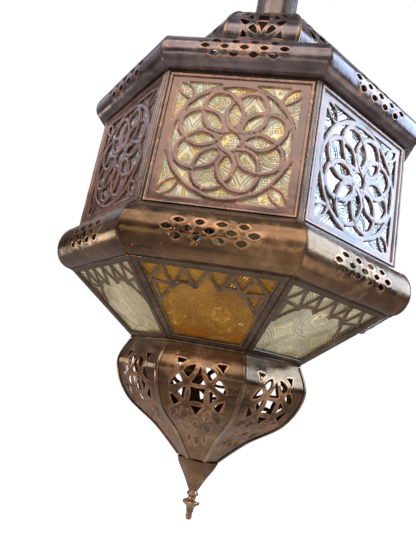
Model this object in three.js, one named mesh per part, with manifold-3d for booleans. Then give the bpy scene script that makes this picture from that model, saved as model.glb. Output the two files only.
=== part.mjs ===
// Eight-sided pierced copper lantern on a rigid ceiling stem.
// Millimetres, +Z up, origin at the centre of the ceiling plate's flat top face.
// The front facet faces -Y and the service door faces +Y.

import * as THREE from 'three';
import { mergeVertices } from 'three/addons/utils/BufferGeometryUtils.js';
import Module from 'manifold-3d';

const wasm = await Module();
wasm.setup();

// Body: corner radii and heights, from the top down
const sides = 8;
const cageRadius = 190;
const cageHeight = 138.8;
const shoulderRadius = 104;
const roofHeight = 57;
const crownHeight = 61.6;
const crownTopInset = 2;
const crownTopRadius = cageRadius - crownTopInset;
const stemVisibleLength = 146;

// Sheet, glass and running gaps
const sheet = 1;
const fit = 0.3;
const glassThickness = 3;
const frameWall = 8.2;
const postLip = 3;
const railLip = 1.5;
const ledge = 4;
const panelGap = 0.6;
const beadWidth = 4;
const beadRise = 1.5;
const sheetRecess = 0.6;
const overrun = 4;

// Half-round collars
const upperCollar = {
  height: 34.8, bulge: 16, radius: cageRadius, middleRow: 8, rowAngle: 27,
};
const lowerCollarInset = 1;
const lowerCollar = {
  height: 48.2, bulge: 19, radius: cageRadius - lowerCollarInset, middleRow: 0, rowAngle: 17.5,
};
const flangeWidth = 9;
const diamondPitch = 18.4;
const diamondWidth = 9.6;
const diamondHeight = 5.6;
const diamondRows = [4, 5, 4];
const diamondCut = 3;

// Rosette of interlaced ovals pierced in each cage panel
const petals = 8;
const patternBorder = 5;
const ringInset = 0.8;
const strap = 4.6;
const ovalInnerReach = 10.6;
const ovalWidest = 28;
const ovalHalfWidth = 18.3;
const petalShares = [0.33, 0.72];
const cellTip = 26;
const slotEnd = 1.6;
const leafWidth = 8;
const leafGap = 1.5;

// Lower crown: frame bars and pierced valance
const crownWall = 3;
const crownSheet = 1.2;
const crownBar = 7;
const valanceTop = 9;
const valancePitch = 21.4;
const valanceDepth = 14;
const valanceStrap = 4;
const hangingGap = 2;
const risingStart = 1;
const windowInset = 1;
const spandrelDrop = 52;

// Onion outline shared by the dome and the bottom bulb
const onionWidest = 114;
const onionWidestDepth = 30;
const onionTurnRadius = 96;
const onionTurnDepth = 64;
const onionWaistRadius = 57;
const onionWaistDepth = 91;
const onionSteps = 7;
const bulbHeight = 119.6;
const bulbEndRadius = 24.4;
const domeHeight = 111;
const neckEdge = 1.6;
const domeOpeningCount = 5;

// Openings of one gore: size, turn, and place across and down from the wide end
const goreCorner = { width: 9, length: 9, turnAngle: -0.5, across: 21.5, down: 18 };
const goreUpperLeaf = { width: 7.5, length: 14, turnAngle: -0.62, across: 12, down: 27 };
const goreTriangle = { width: 12.5, length: 13, turnAngle: Math.PI, across: 0, down: 30 };
const goreSideLeaf = { width: 7, length: 12.5, turnAngle: 0.95, across: 22.5, down: 37 };
const goreStar = { width: 14, length: 14, turnAngle: 0, across: 0, down: 47 };
const goreTail = { width: 11.5, length: 8, turnAngle: 0, across: 0, down: 61 };

// Ferrule and finial
const ferruleHeight = 34;
const ferruleEndRadius = 5.6;
const spigotHeight = 7;
const finialLength = 30.5;
const finialDisc = 9.7;
const finialBead = 6.6;
const finialNeck = 4.2;
const finialTip = 2.4;
const finialStations = [
  [finialBead * 0.7, 0], [finialBead, 0.1], [finialNeck, 0.2], [finialNeck, 0.3], [finialDisc, 0.4],
  [finialDisc * 0.85, 0.46], [finialNeck, 0.56], [finialTip * 1.3, 0.78], [finialTip, 0.97],
];

// Stem, canopy and ceiling plate
const stemRadius = 28.9;
const stemWall = 1.5;
const stemSegments = 16;
const canopyDepth = 34;
const canopyRadius = 66;
const canopyRim = 5;
const canopyShoulderRadius = 54;
const canopyShoulderDrop = 20.4;
const canopyFlat = 6;
const canopyWall = 1.5;
const ringHeight = 8;
const ringWidth = 6;
const ringBulge = 1.5;
const plateRadius = 46;
const plateThickness = 3;
const plateScrewSpacing = 70;
const plateSegments = 16;
const plateScrewRadius = 2;
const screwHeadRadius = 4;
const screwHeadHeight = 2.1;
const screwEnd = 1;
const cableHoleRadius = 6;
const legHalfWidth = 6;
const legThickness = 2.5;
const legLength = 27;
const boltRadius = 2.5;
const boltHeadRadius = 4.5;
const boltHeadSides = 6;
const boltHeadHeight = 2.7;
const boltShow = 3;
const boltNeck = 1;
const boltDrop = 18;

// Lamp rod, lampholder and lamp
const flangeThickness = 3;
const stemSpigot = 9;
const rodRadius = 5;
const rodBore = 3.6;
const nutRadius = 9;
const nutHeight = 5;
const rodEnd = 3;
const holderTopDrop = 6;
const holderNeck = 14;
const holderWall = 5.5;
const capRadius = 13;
const capHeight = 24;
const capButton = 4;
const capShoulder = 6;
const capShow = 1;
const lampRadius = 29;
const lampLength = 74;
const lampWall = 1;
const lampStations = [
  [capRadius, 0], [capRadius * 1.15, 0.2], [lampRadius, 0.58], [lampRadius * 0.8, 0.86], [0, 1],
];
const roundSegments = 10;
const boreSegments = 8;

// Service door in the rear facet, its two hinges and its latch
const doorFacet = 4;
const doorBar = 4;
const doorFront = 1.2;
const doorStop = 1.8;
const barrelRadius = 2.5;
const barrelLength = 9;
const barrelInset = 2;
const pinRadius = 1.1;
const pinEnd = 1;
const pinHeadRadius = 2;
const pinHeadHeight = 1.3;
const knuckleFootLeft = 1.25;
const knuckleFootRight = 1;
const rootDepth = 2.7;
const overlap = 0.4;
const hingeDrop = 24;
const hingeLeaf = 1.2;
const latchThickness = 1.2;
const latchWidth = 5;
const latchReach = 11;
const hookWidth = 1.6;
const hookRise = 0.8;
const earThickness = 1.2;
const pegRadius = 0.9;
const pegHeadRadius = 1.9;
const headHeight = 0.8;
const rivetRadius = 1.2;
const rivetHeadRadius = 2;

// Ratios of the regular outline
const halfStep = Math.PI / sides;
const inRatio = Math.cos(halfStep);
const sideRatio = Math.sin(halfStep);
const apothem = (cornerRadius) => cornerRadius * inRatio;
const halfSide = (cornerRadius) => cornerRadius * sideRatio;
const turnOf = (facet) => 2 * halfStep * facet;
const facets = Array.from({ length: sides }, (_, facet) => facet);

// Levels, measured down from the ceiling
const domeTop = -(canopyDepth + stemVisibleLength);
const domeBottom = domeTop - domeHeight;
const roofTop = domeBottom - fit;
const roofBottom = roofTop - roofHeight;
const upperCollarTop = roofBottom - fit;
const cageTop = upperCollarTop - upperCollar.height - fit;
const cageMiddle = cageTop - cageHeight / 2;
const cageBottom = cageTop - cageHeight;
const lowerCollarTop = cageBottom - fit;
const crownTop = lowerCollarTop - lowerCollar.height - fit;
const crownBottom = crownTop - crownHeight;
const bulbTop = crownBottom - fit;
const bulbBottom = bulbTop - bulbHeight;
const ferruleTop = bulbBottom - fit;
const finialTop = ferruleTop - ferruleHeight - fit;

// Materials
const metal = (color, roughness) => new THREE.MeshStandardMaterial({ color, roughness, metalness: 1 });
const glass = (color) => new THREE.MeshStandardMaterial({
  color, roughness: 0.12, metalness: 0, transparent: true, opacity: 0.45,
});
const agedCopper = metal(0x7a4a33, 0.38);
const redCopper = metal(0x6a3527, 0.45);
const darkFrame = metal(0x4b3a31, 0.5);
const brightCopper = metal(0x9a5f3d, 0.32);
const steel = metal(0x8c8c8e, 0.4);
const brass = metal(0xa5843f, 0.35);
const amberGlass = glass(0xb5760f);
const clearGlass = glass(0xd8d4bf);
const lampGlass = glass(0xf2ead2);
const blackPlastic = new THREE.MeshStandardMaterial({ color: 0x1d1b1a, roughness: 0.55, metalness: 0 });

// Turns a closed three.js geometry into a solid whose faces point out
function solid(geometry) {
  const bare = geometry.clone();
  bare.deleteAttribute('normal');
  bare.deleteAttribute('uv');
  const merged = mergeVertices(bare, 1e-4);
  const places = merged.getAttribute('position');
  const corner = (index) => new THREE.Vector3().fromBufferAttribute(places, index);
  const triangles = [];
  let volume = 0;
  for (let i = 0; i < merged.index.count; i += 3) {
    const [a, b, c] = [0, 1, 2].map((step) => merged.index.getX(i + step));
    if (a !== b && b !== c && c !== a) {
      triangles.push([a, b, c]);
      volume += corner(a).dot(corner(b).cross(corner(c)));
    }
  }
  const outward = volume > 0 ? triangles : triangles.map(([a, b, c]) => [a, c, b]);
  return new wasm.Manifold(new wasm.Mesh({
    numProp: 3,
    vertProperties: new Float32Array(places.array),
    triVerts: new Uint32Array(outward.flat()),
  }));
}

const join = (solids) => solids.reduce((whole, next) => whole.add(next));
const cut = (body, cutters) => cutters.reduce((rest, cutter) => rest.subtract(cutter), body);

// Drops each corner that lies on a straight edge or inside a flat face, by sliding it to a neighbour
function simplified(corners, triangles) {
  const same = 0.999999;
  const normalOf = ([a, b, c]) => new THREE.Vector3().subVectors(corners[b], corners[a])
    .cross(new THREE.Vector3().subVectors(corners[c], corners[a]));
  const around = corners.map(() => new Set());
  triangles.forEach((triangle) => triangle.forEach((corner) => around[corner].add(triangle)));
  const directions = new Map(triangles.map((triangle) => [triangle, normalOf(triangle).normalize()]));
  const neighbours = (v) => new Set([...around[v]].flat().filter((other) => other !== v));
  const straight = (v, n, m) => {
    const ahead = corners[n].clone().sub(corners[v]).normalize();
    return ahead.dot(corners[m].clone().sub(corners[v]).normalize()) < -same;
  };
  const tryCorner = (v) => {
    const faces = [];
    around[v].forEach((triangle) => {
      const direction = directions.get(triangle);
      if (!faces.some((face) => face.dot(direction) > same)) faces.push(direction);
    });
    if (faces.length > 2) return;
    const touching = (n) => [...around[v]].filter((triangle) => triangle.includes(n));
    const ring = [...neighbours(v)];
    const creases = ring.filter((n) => {
      const [one, two] = touching(n).map((triangle) => directions.get(triangle));
      return faces.length === 1 || one.dot(two) < same;
    });
    if (faces.length === 2 && !(creases.length === 2 && straight(v, ...creases))) return;
    const target = creases.find((n) => {
      const shared = [...neighbours(n)].filter((other) => ring.includes(other));
      return shared.length === 2 && [...around[v]].every((triangle) => {
        if (triangle.includes(n)) return true;
        const moved = normalOf(triangle.map((corner) => (corner === v ? n : corner)));
        return moved.length() > 1e-3 && moved.normalize().dot(directions.get(triangle)) > same;
      });
    });
    if (target === undefined) return;
    [...around[v]].forEach((triangle) => {
      if (triangle.includes(target)) {
        triangle.forEach((corner) => around[corner].delete(triangle));
        directions.delete(triangle);
      } else {
        triangle[triangle.indexOf(v)] = target;
        around[target].add(triangle);
      }
    });
    around[v].clear();
  };
  for (let pass = 0; pass < 3; pass += 1) corners.forEach((_, v) => around[v].size && tryCorner(v));
  return [...directions.keys()];
}

// Turns a solid back into a three.js geometry
function shaped(body) {
  const mesh = body.getMesh();
  const corners = Array.from({ length: mesh.vertProperties.length / 3 }, (_, i) => (
    new THREE.Vector3().fromArray(mesh.vertProperties, 3 * i)));
  const triangles = Array.from({ length: mesh.triVerts.length / 3 }, (_, i) => (
    Array.from(mesh.triVerts.subarray(3 * i, 3 * i + 3))));
  const geometry = new THREE.BufferGeometry();
  const used = simplified(corners, triangles);
  const places = used.flat().flatMap((corner) => corners[corner].toArray());
  geometry.setAttribute('position', new THREE.Float32BufferAttribute(places, 3));
  return mergeVertices(geometry, 1e-4);
}

// Plate drawn across (x) and up (z), standing out towards -Y from outset `back` to `front`
function plate(outline, back, front, holes = []) {
  const shape = new THREE.Shape(outline.map(([across, up]) => new THREE.Vector2(across, up)));
  shape.holes = holes.map((hole) => new THREE.Path(hole.map(([x, y]) => new THREE.Vector2(x, y))));
  const geometry = new THREE.ExtrudeGeometry(shape, { depth: front - back, bevelEnabled: false });
  return geometry.rotateX(Math.PI / 2).translate(0, -back, 0);
}

// Flat piece drawn in plan and raised from `bottom` to `top`
function slab(outline, bottom, top, holes = []) {
  const shape = new THREE.Shape(outline.map(([x, y]) => new THREE.Vector2(x, y)));
  shape.holes = holes.map((hole) => new THREE.Path(hole.map(([x, y]) => new THREE.Vector2(x, y))));
  const geometry = new THREE.ExtrudeGeometry(shape, { depth: top - bottom, bevelEnabled: false });
  return geometry.translate(0, 0, bottom);
}

// Revolved piece; a section of [radius, height] points that closes on itself or ends on the axis
function turned(section, segments = roundSegments, start = 0) {
  const points = section.map(([radius, height]) => new THREE.Vector2(radius, height));
  return new THREE.LatheGeometry(points, segments, start).rotateX(Math.PI / 2);
}

const closed = (section) => [...section, section[0]];
const eightSided = (section) => turned(section, sides, halfStep);
const tube = (outer, inner, bottom, top, segments) => turned(
  closed([[outer, bottom], [outer, top], [inner, top], [inner, bottom]]), segments);
const rod = (radius, bottom, top, segments = boreSegments) => turned(
  [[0, bottom], [radius, bottom], [radius, top], [0, top]], segments);

const rectangle = (halfWidth, halfHeight, middle = 0) => [
  [-halfWidth, middle - halfHeight], [halfWidth, middle - halfHeight],
  [halfWidth, middle + halfHeight], [-halfWidth, middle + halfHeight],
];
const circle = (radius, x = 0, y = 0, steps = boreSegments) => Array.from({ length: steps }, (_, i) => {
  const angle = (2 * Math.PI * i) / steps;
  return [x + radius * Math.cos(angle), y + radius * Math.sin(angle)];
});
const triangleOf = (width, height) => [[-width / 2, -height / 2], [width / 2, -height / 2], [0, height / 2]];
const leafOf = (width, height) => [[-width / 2, 0], [0, -height / 2], [width / 2, 0], [0, height / 2]];
const mirrored = (outline) => outline.map(([x, y]) => [-x, y]);
const bothHands = (outline) => [outline, mirrored(outline)];
const rotated = (outline, angle) => outline.map(([x, y]) => [
  x * Math.cos(angle) - y * Math.sin(angle), x * Math.sin(angle) + y * Math.cos(angle),
]);
const shifted = (outline, dx, dy) => outline.map(([x, y]) => [x + dx, y + dy]);
const polar = (radius, angle) => [radius * Math.cos(angle), radius * Math.sin(angle)];

// Root of a function that changes sign once between two values
function root(measure, low, high) {
  const rising = measure(high) > measure(low);
  let [from, to] = [low, high];
  for (let i = 0; i < 40; i += 1) {
    const middle = (from + to) / 2;
    if ((measure(middle) > 0) === rising) to = middle;
    else from = middle;
  }
  return (from + to) / 2;
}

const group = new THREE.Group();

function add(name, geometry, material, facet = 0) {
  const mesh = new THREE.Mesh(geometry, material);
  mesh.name = name;
  mesh.rotation.z = turnOf(facet);
  group.add(mesh);
}

// Oval of the rosette, lying along x, with its edge moved out by `offset`
function rosetteOval(offset, half) {
  const outerReach = half - ringInset - strap;
  const halfWidth = ovalHalfWidth + offset;
  const lengthAt = (x) => (x < ovalWidest ? ovalWidest - ovalInnerReach : outerReach - ovalWidest) + offset;
  const level = (x, y) => ((x - ovalWidest) / lengthAt(x)) ** 2 + (y / halfWidth) ** 2 - 1;
  const heightAt = (x) => halfWidth * Math.sqrt(Math.max(0, 1 - ((x - ovalWidest) / lengthAt(x)) ** 2));
  return { level, heightAt, end: ovalWidest + lengthAt(ovalWidest + 1) };
}

// Openings of the rosette: hub, petals, large cells, outer cells and corner leaves
function rosetteOpenings(half) {
  const petalHalf = Math.PI / petals;
  const inner = rosetteOval(-strap / 2, half);
  const outer = rosetteOval(strap / 2, half);
  const ringInner = half - ringInset - strap / 2;
  const levelTurned = (oval, [x, y], angle) => oval.level(...rotated([[x, y]], -angle)[0]);
  const onAxis = (oval, low, high) => root((r) => levelTurned(oval, [r, 0], petalHalf), low, high);
  const around = (outline, offset) => Array.from({ length: petals }, (_, i) => rotated(
    outline, offset + 2 * petalHalf * i));
  const withMirror = (axisPoints, sidePoints, endPoints) => [
    ...axisPoints, ...sidePoints, ...endPoints, ...[...sidePoints].reverse().map(([x, y]) => [x, -y]),
  ];

  const hubRadius = onAxis(outer, 1, ovalWidest);
  const hub = Array.from({ length: petals }, (_, i) => polar(hubRadius, 2 * petalHalf * i));

  const petalStart = onAxis(inner, 1, ovalWidest);
  const petalEnd = onAxis(inner, ovalWidest, half);
  const petalSide = petalShares.map((share) => {
    const x = petalStart + share * (petalEnd - petalStart);
    return [x, root((y) => levelTurned(inner, [x, y], -petalHalf), 0, ovalHalfWidth)];
  });
  const petal = withMirror([[petalStart, 0]], petalSide, [[petalEnd, 0]]);

  const neighbourEdge = (x) => root((y) => levelTurned(outer, [x, y], 2 * petalHalf), 0, x * 0.8);
  const meeting = root((x) => inner.heightAt(x) - neighbourEdge(x), cellTip + 4, inner.end - 1);
  const cell = withMirror([[cellTip, 0]], [[meeting, inner.heightAt(meeting)]], [[inner.end, 0]]);

  const outerTip = onAxis(outer, ovalWidest, half);
  const edgeRadius = (angle) => root(
    (r) => levelTurned(outer, polar(r, angle), petalHalf), outerTip - 2, half + 1);
  const slotAngle = root((angle) => edgeRadius(angle) - (ringInner - slotEnd), 0.02, petalHalf * 0.98);
  const slot = withMirror([[outerTip, 0]], [polar(edgeRadius(slotAngle), slotAngle)], []);

  const ringOuter = half - ringInset + strap / 2;
  const leafStart = ringOuter + leafGap;
  const leafEnd = half * Math.SQRT2 - leafGap;
  const leafMiddle = (leafStart + leafEnd) / 2;
  const leaf = [[leafStart, 0], [leafMiddle, leafWidth / 2], [leafEnd, 0], [leafMiddle, -leafWidth / 2]];
  const corners = [0, 1, 2, 3].map((turn) => rotated(leaf, Math.PI / 4 + (turn * Math.PI) / 2));

  return [hub, ...around(petal, 0), ...around(cell, petalHalf), ...around(slot, 0), ...corners];
}

// Sizes of the panels and of the rebates that hold them
const openHalfWidth = halfSide(cageRadius) - postLip;
const openHalfHeight = cageHeight / 2 - railLip;
const panelHalfWidth = openHalfWidth - panelGap;
const panelHalfHeight = openHalfHeight - panelGap;
const glassFront = -sheetRecess - sheet - fit;
const glassBack = glassFront - glassThickness;
const ledgeFront = glassBack - fit;
const rosetteHalf = (halfHeight) => halfHeight - beadWidth - patternBorder;

// Cage panel: pierced sheet inside a raised bead frame, drawn about its own centre
function cagePanel(halfWidth, halfHeight) {
  const back = -sheetRecess - sheet;
  const half = rosetteHalf(panelHalfHeight);
  const scale = rosetteHalf(halfHeight) / half;
  const openings = rosetteOpenings(half).map((outline) => (
    outline.map(([x, y]) => [x * scale, y * scale])));
  const blank = plate(rectangle(halfWidth, halfHeight), back, beadRise - sheetRecess);
  const field = plate(
    rectangle(halfWidth - beadWidth, halfHeight - beadWidth), -sheetRecess, beadRise + overrun);
  const prisms = openings.map((outline) => plate(outline, back - overrun, overrun));
  return cut(solid(blank), [field, ...prisms].map(solid));
}

// Places a solid drawn about a cage facet's centre at that facet's plane
const atCage = (body) => shaped(body).translate(0, -apothem(cageRadius), cageMiddle);

// Hinge line beside the rear facet's post, in the facet's own across and outward sizes
const hingeAcross = -(halfSide(cageRadius) - barrelInset);
const hingeOut = barrelRadius + doorFront;
const hingeLevels = [panelHalfHeight - hingeDrop, -(panelHalfHeight - hingeDrop) - 2 * barrelLength];
const pegAcross = halfSide(cageRadius) - postLip / 2;
const latchAcross = panelHalfWidth - latchReach + postLip;
const latchBack = doorFront + earThickness + fit;
const latchFront = latchBack + latchThickness;

const atHinge = (geometry) => geometry.translate(hingeAcross, -hingeOut, 0);
const block = (left, right, bottom, top, back, front) => plate(
  [[left, bottom], [right, bottom], [right, top], [left, top]], back, front);
const pegAt = (radius, across, up, back, front) => plate(circle(radius, across, up), back, front);

// Fixed knuckles and latch peg, drawn about the rear facet's centre
function doorFittings() {
  const knuckles = hingeLevels.flatMap((bottom) => [
    solid(atHinge(rod(barrelRadius, bottom, bottom + barrelLength))),
    solid(block(
      hingeAcross - knuckleFootLeft, hingeAcross + knuckleFootRight,
      bottom, bottom + barrelLength, -rootDepth, hingeOut - barrelRadius / 2,
    )),
  ]);
  const studTop = latchFront + fit;
  return [
    ...knuckles,
    solid(pegAt(pegRadius, pegAcross, 0, -rootDepth, studTop + headHeight / 2)),
    solid(pegAt(pegHeadRadius, pegAcross, 0, studTop, studTop + headHeight)),
  ];
}
const hingeBores = () => hingeLevels.map((bottom) => solid(
  atHinge(rod(pinRadius + fit, bottom - overrun, bottom + 2 * barrelLength + overrun))));

// Cage frame: eight rebated posts between two rails
function cageFrame() {
  const innerRadius = cageRadius - frameWall / inRatio;
  const wall = solid(tubeOf(cageRadius, innerRadius, cageBottom, cageTop));
  const toFacet = (body, facet) => solid(atCage(body).rotateZ(turnOf(facet)));
  const cutters = facets.flatMap((facet) => {
    const rebateBack = facet === doorFacet ? doorStop - frameWall : ledgeFront;
    const rebate = plate(rectangle(openHalfWidth, openHalfHeight), rebateBack, overrun);
    const window = plate(rectangle(openHalfWidth - ledge, openHalfHeight - ledge), -frameWall - overrun, 0);
    return [solid(rebate), solid(window)].map((body) => toFacet(body, facet));
  });
  const fittings = doorFittings().map((body) => toFacet(body, doorFacet));
  const bores = hingeBores().map((body) => toFacet(body, doorFacet));
  return cut(join([cut(wall, cutters), ...fittings]), bores);
}
function tubeOf(outerRadius, innerRadius, bottom, top) {
  return eightSided(closed([
    [outerRadius, bottom], [outerRadius, top], [innerRadius, top], [innerRadius, bottom],
  ]));
}

// Service door: frame with a pocket for its glass and panel, two knuckles and a latch ear
function doorFrame() {
  const slabBack = doorStop + fit - frameWall;
  const outer = solid(plate(rectangle(panelHalfWidth, panelHalfHeight), slabBack, doorFront));
  const pocket = solid(plate(
    rectangle(panelHalfWidth - doorBar, panelHalfHeight - doorBar), ledgeFront, doorFront + overrun));
  const window = solid(plate(
    rectangle(panelHalfWidth - doorBar - ledge, panelHalfHeight - doorBar - ledge),
    slabBack - overrun, 0,
  ));
  const knuckles = hingeLevels.flatMap((level) => {
    const bottom = level + barrelLength + fit;
    const top = bottom + barrelLength - fit;
    return [
      solid(atHinge(rod(barrelRadius, bottom, top))),
      solid(block(
        hingeAcross, -panelHalfWidth + doorBar - overlap,
        bottom, top, doorFront - overlap, doorFront + hingeLeaf,
      )),
    ];
  });
  const ear = solid(block(
    latchAcross - latchWidth, panelHalfWidth - overlap, -latchWidth, latchWidth,
    doorFront - overlap, doorFront + earThickness,
  ));
  const rivetHole = solid(pegAt(rivetRadius + fit, latchAcross, 0, slabBack, doorFront + overrun));
  const clearOfPanel = solid(plate(
    rectangle(panelHalfWidth - doorBar, panelHalfHeight - doorBar), slabBack, doorFront));
  const shell = cut(outer, [pocket, window]);
  return cut(join([shell, ...knuckles, cut(ear, [clearOfPanel])]), [...hingeBores(), rivetHole]);
}

// Latch: an arm whose open notch drops over the peg
function latchArm() {
  const reach = pegAcross - latchAcross;
  const half = latchWidth / 2;
  const notch = pegRadius + 1.5 * fit;
  const arm = [
    [-half, -half], [reach - notch, -half], [reach - notch, notch], [reach + notch, notch],
    [reach + notch, -half], [reach + notch + hookWidth, -half],
    [reach + notch + hookWidth, half + hookRise], [-half, half],
  ];
  const body = plate(shifted(arm, latchAcross, 0), latchBack, latchFront);
  const hole = pegAt(rivetRadius + fit, latchAcross, 0, latchBack - overrun, latchFront + overrun);
  return cut(solid(body), [solid(hole)]);
}
const latchRivet = () => join([
  solid(pegAt(rivetRadius, latchAcross, 0, doorFront, latchFront + fit + headHeight / 2)),
  solid(pegAt(rivetHeadRadius, latchAcross, 0, latchFront + fit, latchFront + fit + headHeight)),
]);

// Half-round collar with flat flanges and rows of pierced diamonds
function collarAngles({ middleRow, rowAngle }) {
  const edges = [-1.5, -0.5, 0.5, 1.5].map((step) => middleRow + step * rowAngle);
  const below = (edges[0] - 90) / 2;
  const above = (edges[3] + 90) / 2;
  return [-90, below, ...edges, above, 90].map(THREE.MathUtils.degToRad);
}
function collar(profile, top) {
  const { height, bulge, radius, middleRow, rowAngle } = profile;
  const middle = top - height / 2;
  const angles = collarAngles(profile);
  const arc = (thin) => angles.map((angle) => [
    radius + (bulge - thin / inRatio) * Math.cos(angle), middle + (height / 2 - thin) * Math.sin(angle),
  ]);
  const lip = radius - flangeWidth;
  const section = closed([
    ...arc(0), [lip, top], [lip, top - sheet],
    ...arc(sheet).reverse(), [lip, top - height + sheet], [lip, top - height],
  ]);
  const cutters = diamondRows.flatMap((count, row) => {
    const angle = THREE.MathUtils.degToRad(middleRow + (row - 1) * rowAngle);
    const tilt = Math.atan2(Math.sin(angle) / height, Math.cos(angle) / (2 * apothem(bulge)));
    return Array.from({ length: count }, (_, i) => {
      const across = (i - (count - 1) / 2) * diamondPitch;
      const diamond = shifted(leafOf(diamondWidth, diamondHeight), across, 0);
      return plate(diamond, -diamondCut, diamondCut)
        .rotateX(-tilt)
        .translate(0, -apothem(radius + bulge * Math.cos(angle)), middle + (height / 2) * Math.sin(angle));
    });
  });
  const turnedTo = (facet) => cutters.map((cutter) => solid(cutter.clone().rotateZ(turnOf(facet))));
  return cut(solid(eightSided(section)), facets.flatMap(turnedTo));
}

// Sloping eight-sided wall between two levels
function slopedWall(topRadius, bottomRadius, top, bottom, wall) {
  const run = apothem(Math.abs(topRadius - bottomRadius));
  const level = (wall / inRatio) * (Math.hypot(run, top - bottom) / (top - bottom));
  return eightSided(closed([
    [bottomRadius, bottom], [topRadius, top], [topRadius - level, top], [bottomRadius - level, bottom],
  ]));
}

// Lower crown: sloping frame with sunk windows under a pierced valance
const crownTilt = Math.atan2(apothem(crownTopRadius - shoulderRadius), crownHeight);
const crownGlassBack = crownWall + fit + glassThickness;
function crownOutlines() {
  const slope = Math.hypot(apothem(crownTopRadius - shoulderRadius), crownHeight);
  const edgeAt = (drop) => halfSide(crownTopRadius)
    - (halfSide(crownTopRadius) - halfSide(shoulderRadius)) * (drop / slope);
  const lean = Math.hypot(1, (edgeAt(0) - edgeAt(slope)) / slope);
  const insideAt = (drop, margin) => edgeAt(drop) - margin * lean;
  const trapezoid = (margin, top = margin) => [
    [-insideAt(top, margin), -top], [insideAt(top, margin), -top],
    [insideAt(slope - margin, margin), margin - slope], [-insideAt(slope - margin, margin), margin - slope],
  ];
  const half = valancePitch / 2 - valanceStrap;
  const foot = -valanceTop - valanceDepth;
  const hanging = (across) => [
    [across - half, -valanceTop], [across + half, -valanceTop], [across, foot + hangingGap],
  ];
  const rising = (across) => [
    [across, -valanceTop - risingStart], [across - half, foot], [across + half, foot],
  ];
  const nodeDrop = valanceTop + valanceDepth + 2 * valanceStrap;
  const windowMargin = crownBar + windowInset;
  const openingHalf = [
    [valancePitch / 2, -nodeDrop],
    [valancePitch, -nodeDrop + valanceStrap],
    [1.5 * valancePitch, -nodeDrop - valanceStrap],
    [insideAt(spandrelDrop, windowMargin), -spandrelDrop],
    [insideAt(slope - windowMargin, windowMargin), windowMargin - slope],
  ];
  const opening = [[0, -valanceTop - valanceStrap], ...openingHalf, ...mirrored([...openingHalf].reverse())];
  return {
    slope,
    recess: trapezoid(crownBar),
    openings: [
      opening, ...bothHands(hanging(0.5 * valancePitch)), ...bothHands(hanging(1.5 * valancePitch)),
      ...bothHands(rising(valancePitch)), ...bothHands(rising(2 * valancePitch)),
    ],
    glass: trapezoid(crownBar / 2, (crownGlassBack + fit) * Math.tan(crownTilt)),
  };
}
const atCrown = (geometry) => geometry.rotateX(crownTilt).translate(0, -apothem(crownTopRadius), crownTop);
function crownFrame() {
  const { recess, openings } = crownOutlines();
  const wall = solid(slopedWall(crownTopRadius, shoulderRadius, crownTop, crownBottom, crownWall));
  const cutters = facets.flatMap((facet) => [
    atCrown(plate(recess, crownSheet - crownWall, overrun)),
    ...openings.map((outline) => atCrown(plate(outline, -crownWall - overrun, overrun))),
  ].map((geometry) => solid(geometry.rotateZ(turnOf(facet)))));
  return cut(wall, cutters);
}
const crownGlass = () => atCrown(plate(
  crownOutlines().glass, -crownGlassBack, glassThickness - crownGlassBack));

// Onion outline as [corner radius, depth] points, from its wide end to its narrow end
function onionOutline(endRadius, length) {
  const points = [
    [shoulderRadius, 0], [onionWidest, onionWidestDepth], [onionTurnRadius, onionTurnDepth],
    [onionWaistRadius, onionWaistDepth], [endRadius, length],
  ].map(([radius, depth]) => new THREE.Vector2(radius, depth));
  return new THREE.SplineCurve(points).getPoints(onionSteps).map(({ x, y }) => [x, y]);
}

// Thin wall that follows an outline of [corner radius, height] points
function thinWall(outline, thickness) {
  const inside = outline.map(([radius, height], i) => {
    const [beforeR, beforeH] = outline[Math.max(0, i - 1)];
    const [afterR, afterH] = outline[Math.min(outline.length - 1, i + 1)];
    const along = [apothem(afterR - beforeR), afterH - beforeH];
    const length = Math.hypot(...along);
    const side = Math.sign(along[1]);
    const atEnd = i === 0 || i === outline.length - 1;
    const rise = atEnd ? 0 : (side * along[0] * thickness) / length;
    const inward = atEnd
      ? thickness * (length / Math.abs(along[1]))
      : (side * along[1] * thickness) / length;
    return [radius - inward / inRatio, height + rise];
  });
  return eightSided(closed([...outline, ...inside.reverse()]));
}

// Openings of one gore, the dome's first
const onGore = (shape, { width, length, turnAngle, across, down }) => shifted(
  rotated(shape(width, length), turnAngle), across, down);
const goreOpenings = [
  ...bothHands(onGore(triangleOf, goreCorner)),
  ...bothHands(onGore(leafOf, goreUpperLeaf)),
  onGore(triangleOf, goreTriangle),
  ...bothHands(onGore(leafOf, goreSideLeaf)),
  onGore(leafOf, goreStar),
  onGore(triangleOf, goreTail),
];
const domeEndRadius = (stemRadius + fit) / inRatio + neckEdge;

// Corner radius inside the dome's wall at a height
function domeInsideAt(height) {
  const outline = onionOutline(domeEndRadius, domeHeight)
    .map(([radius, depth]) => [radius, domeBottom + depth]);
  const next = outline.findIndex(([, level]) => level > height);
  const [[lowRadius, low], [highRadius, high]] = [outline[next - 1], outline[next]];
  const slant = Math.hypot(apothem(highRadius - lowRadius), high - low) / (high - low);
  return lowRadius + ((highRadius - lowRadius) * (height - low)) / (high - low) - (sheet * slant) / inRatio;
}

// Pierced onion of eight gores, hanging below `top` or standing above `bottom`
function onion(endRadius, length, start, direction, openings) {
  const outline = onionOutline(endRadius, length)
    .map(([radius, depth]) => [radius, start + direction * depth]);
  const wall = solid(thinWall(outline, sheet));
  const cutters = facets.flatMap((facet) => openings.map((opening) => solid(
    plate(opening.map(([x, depth]) => [x, start + direction * depth]), -apothem(onionWidest) / 2, overrun)
      .translate(0, -apothem(onionWidest), 0)
      .rotateZ(turnOf(facet)))));
  return cut(wall, cutters);
}

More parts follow.
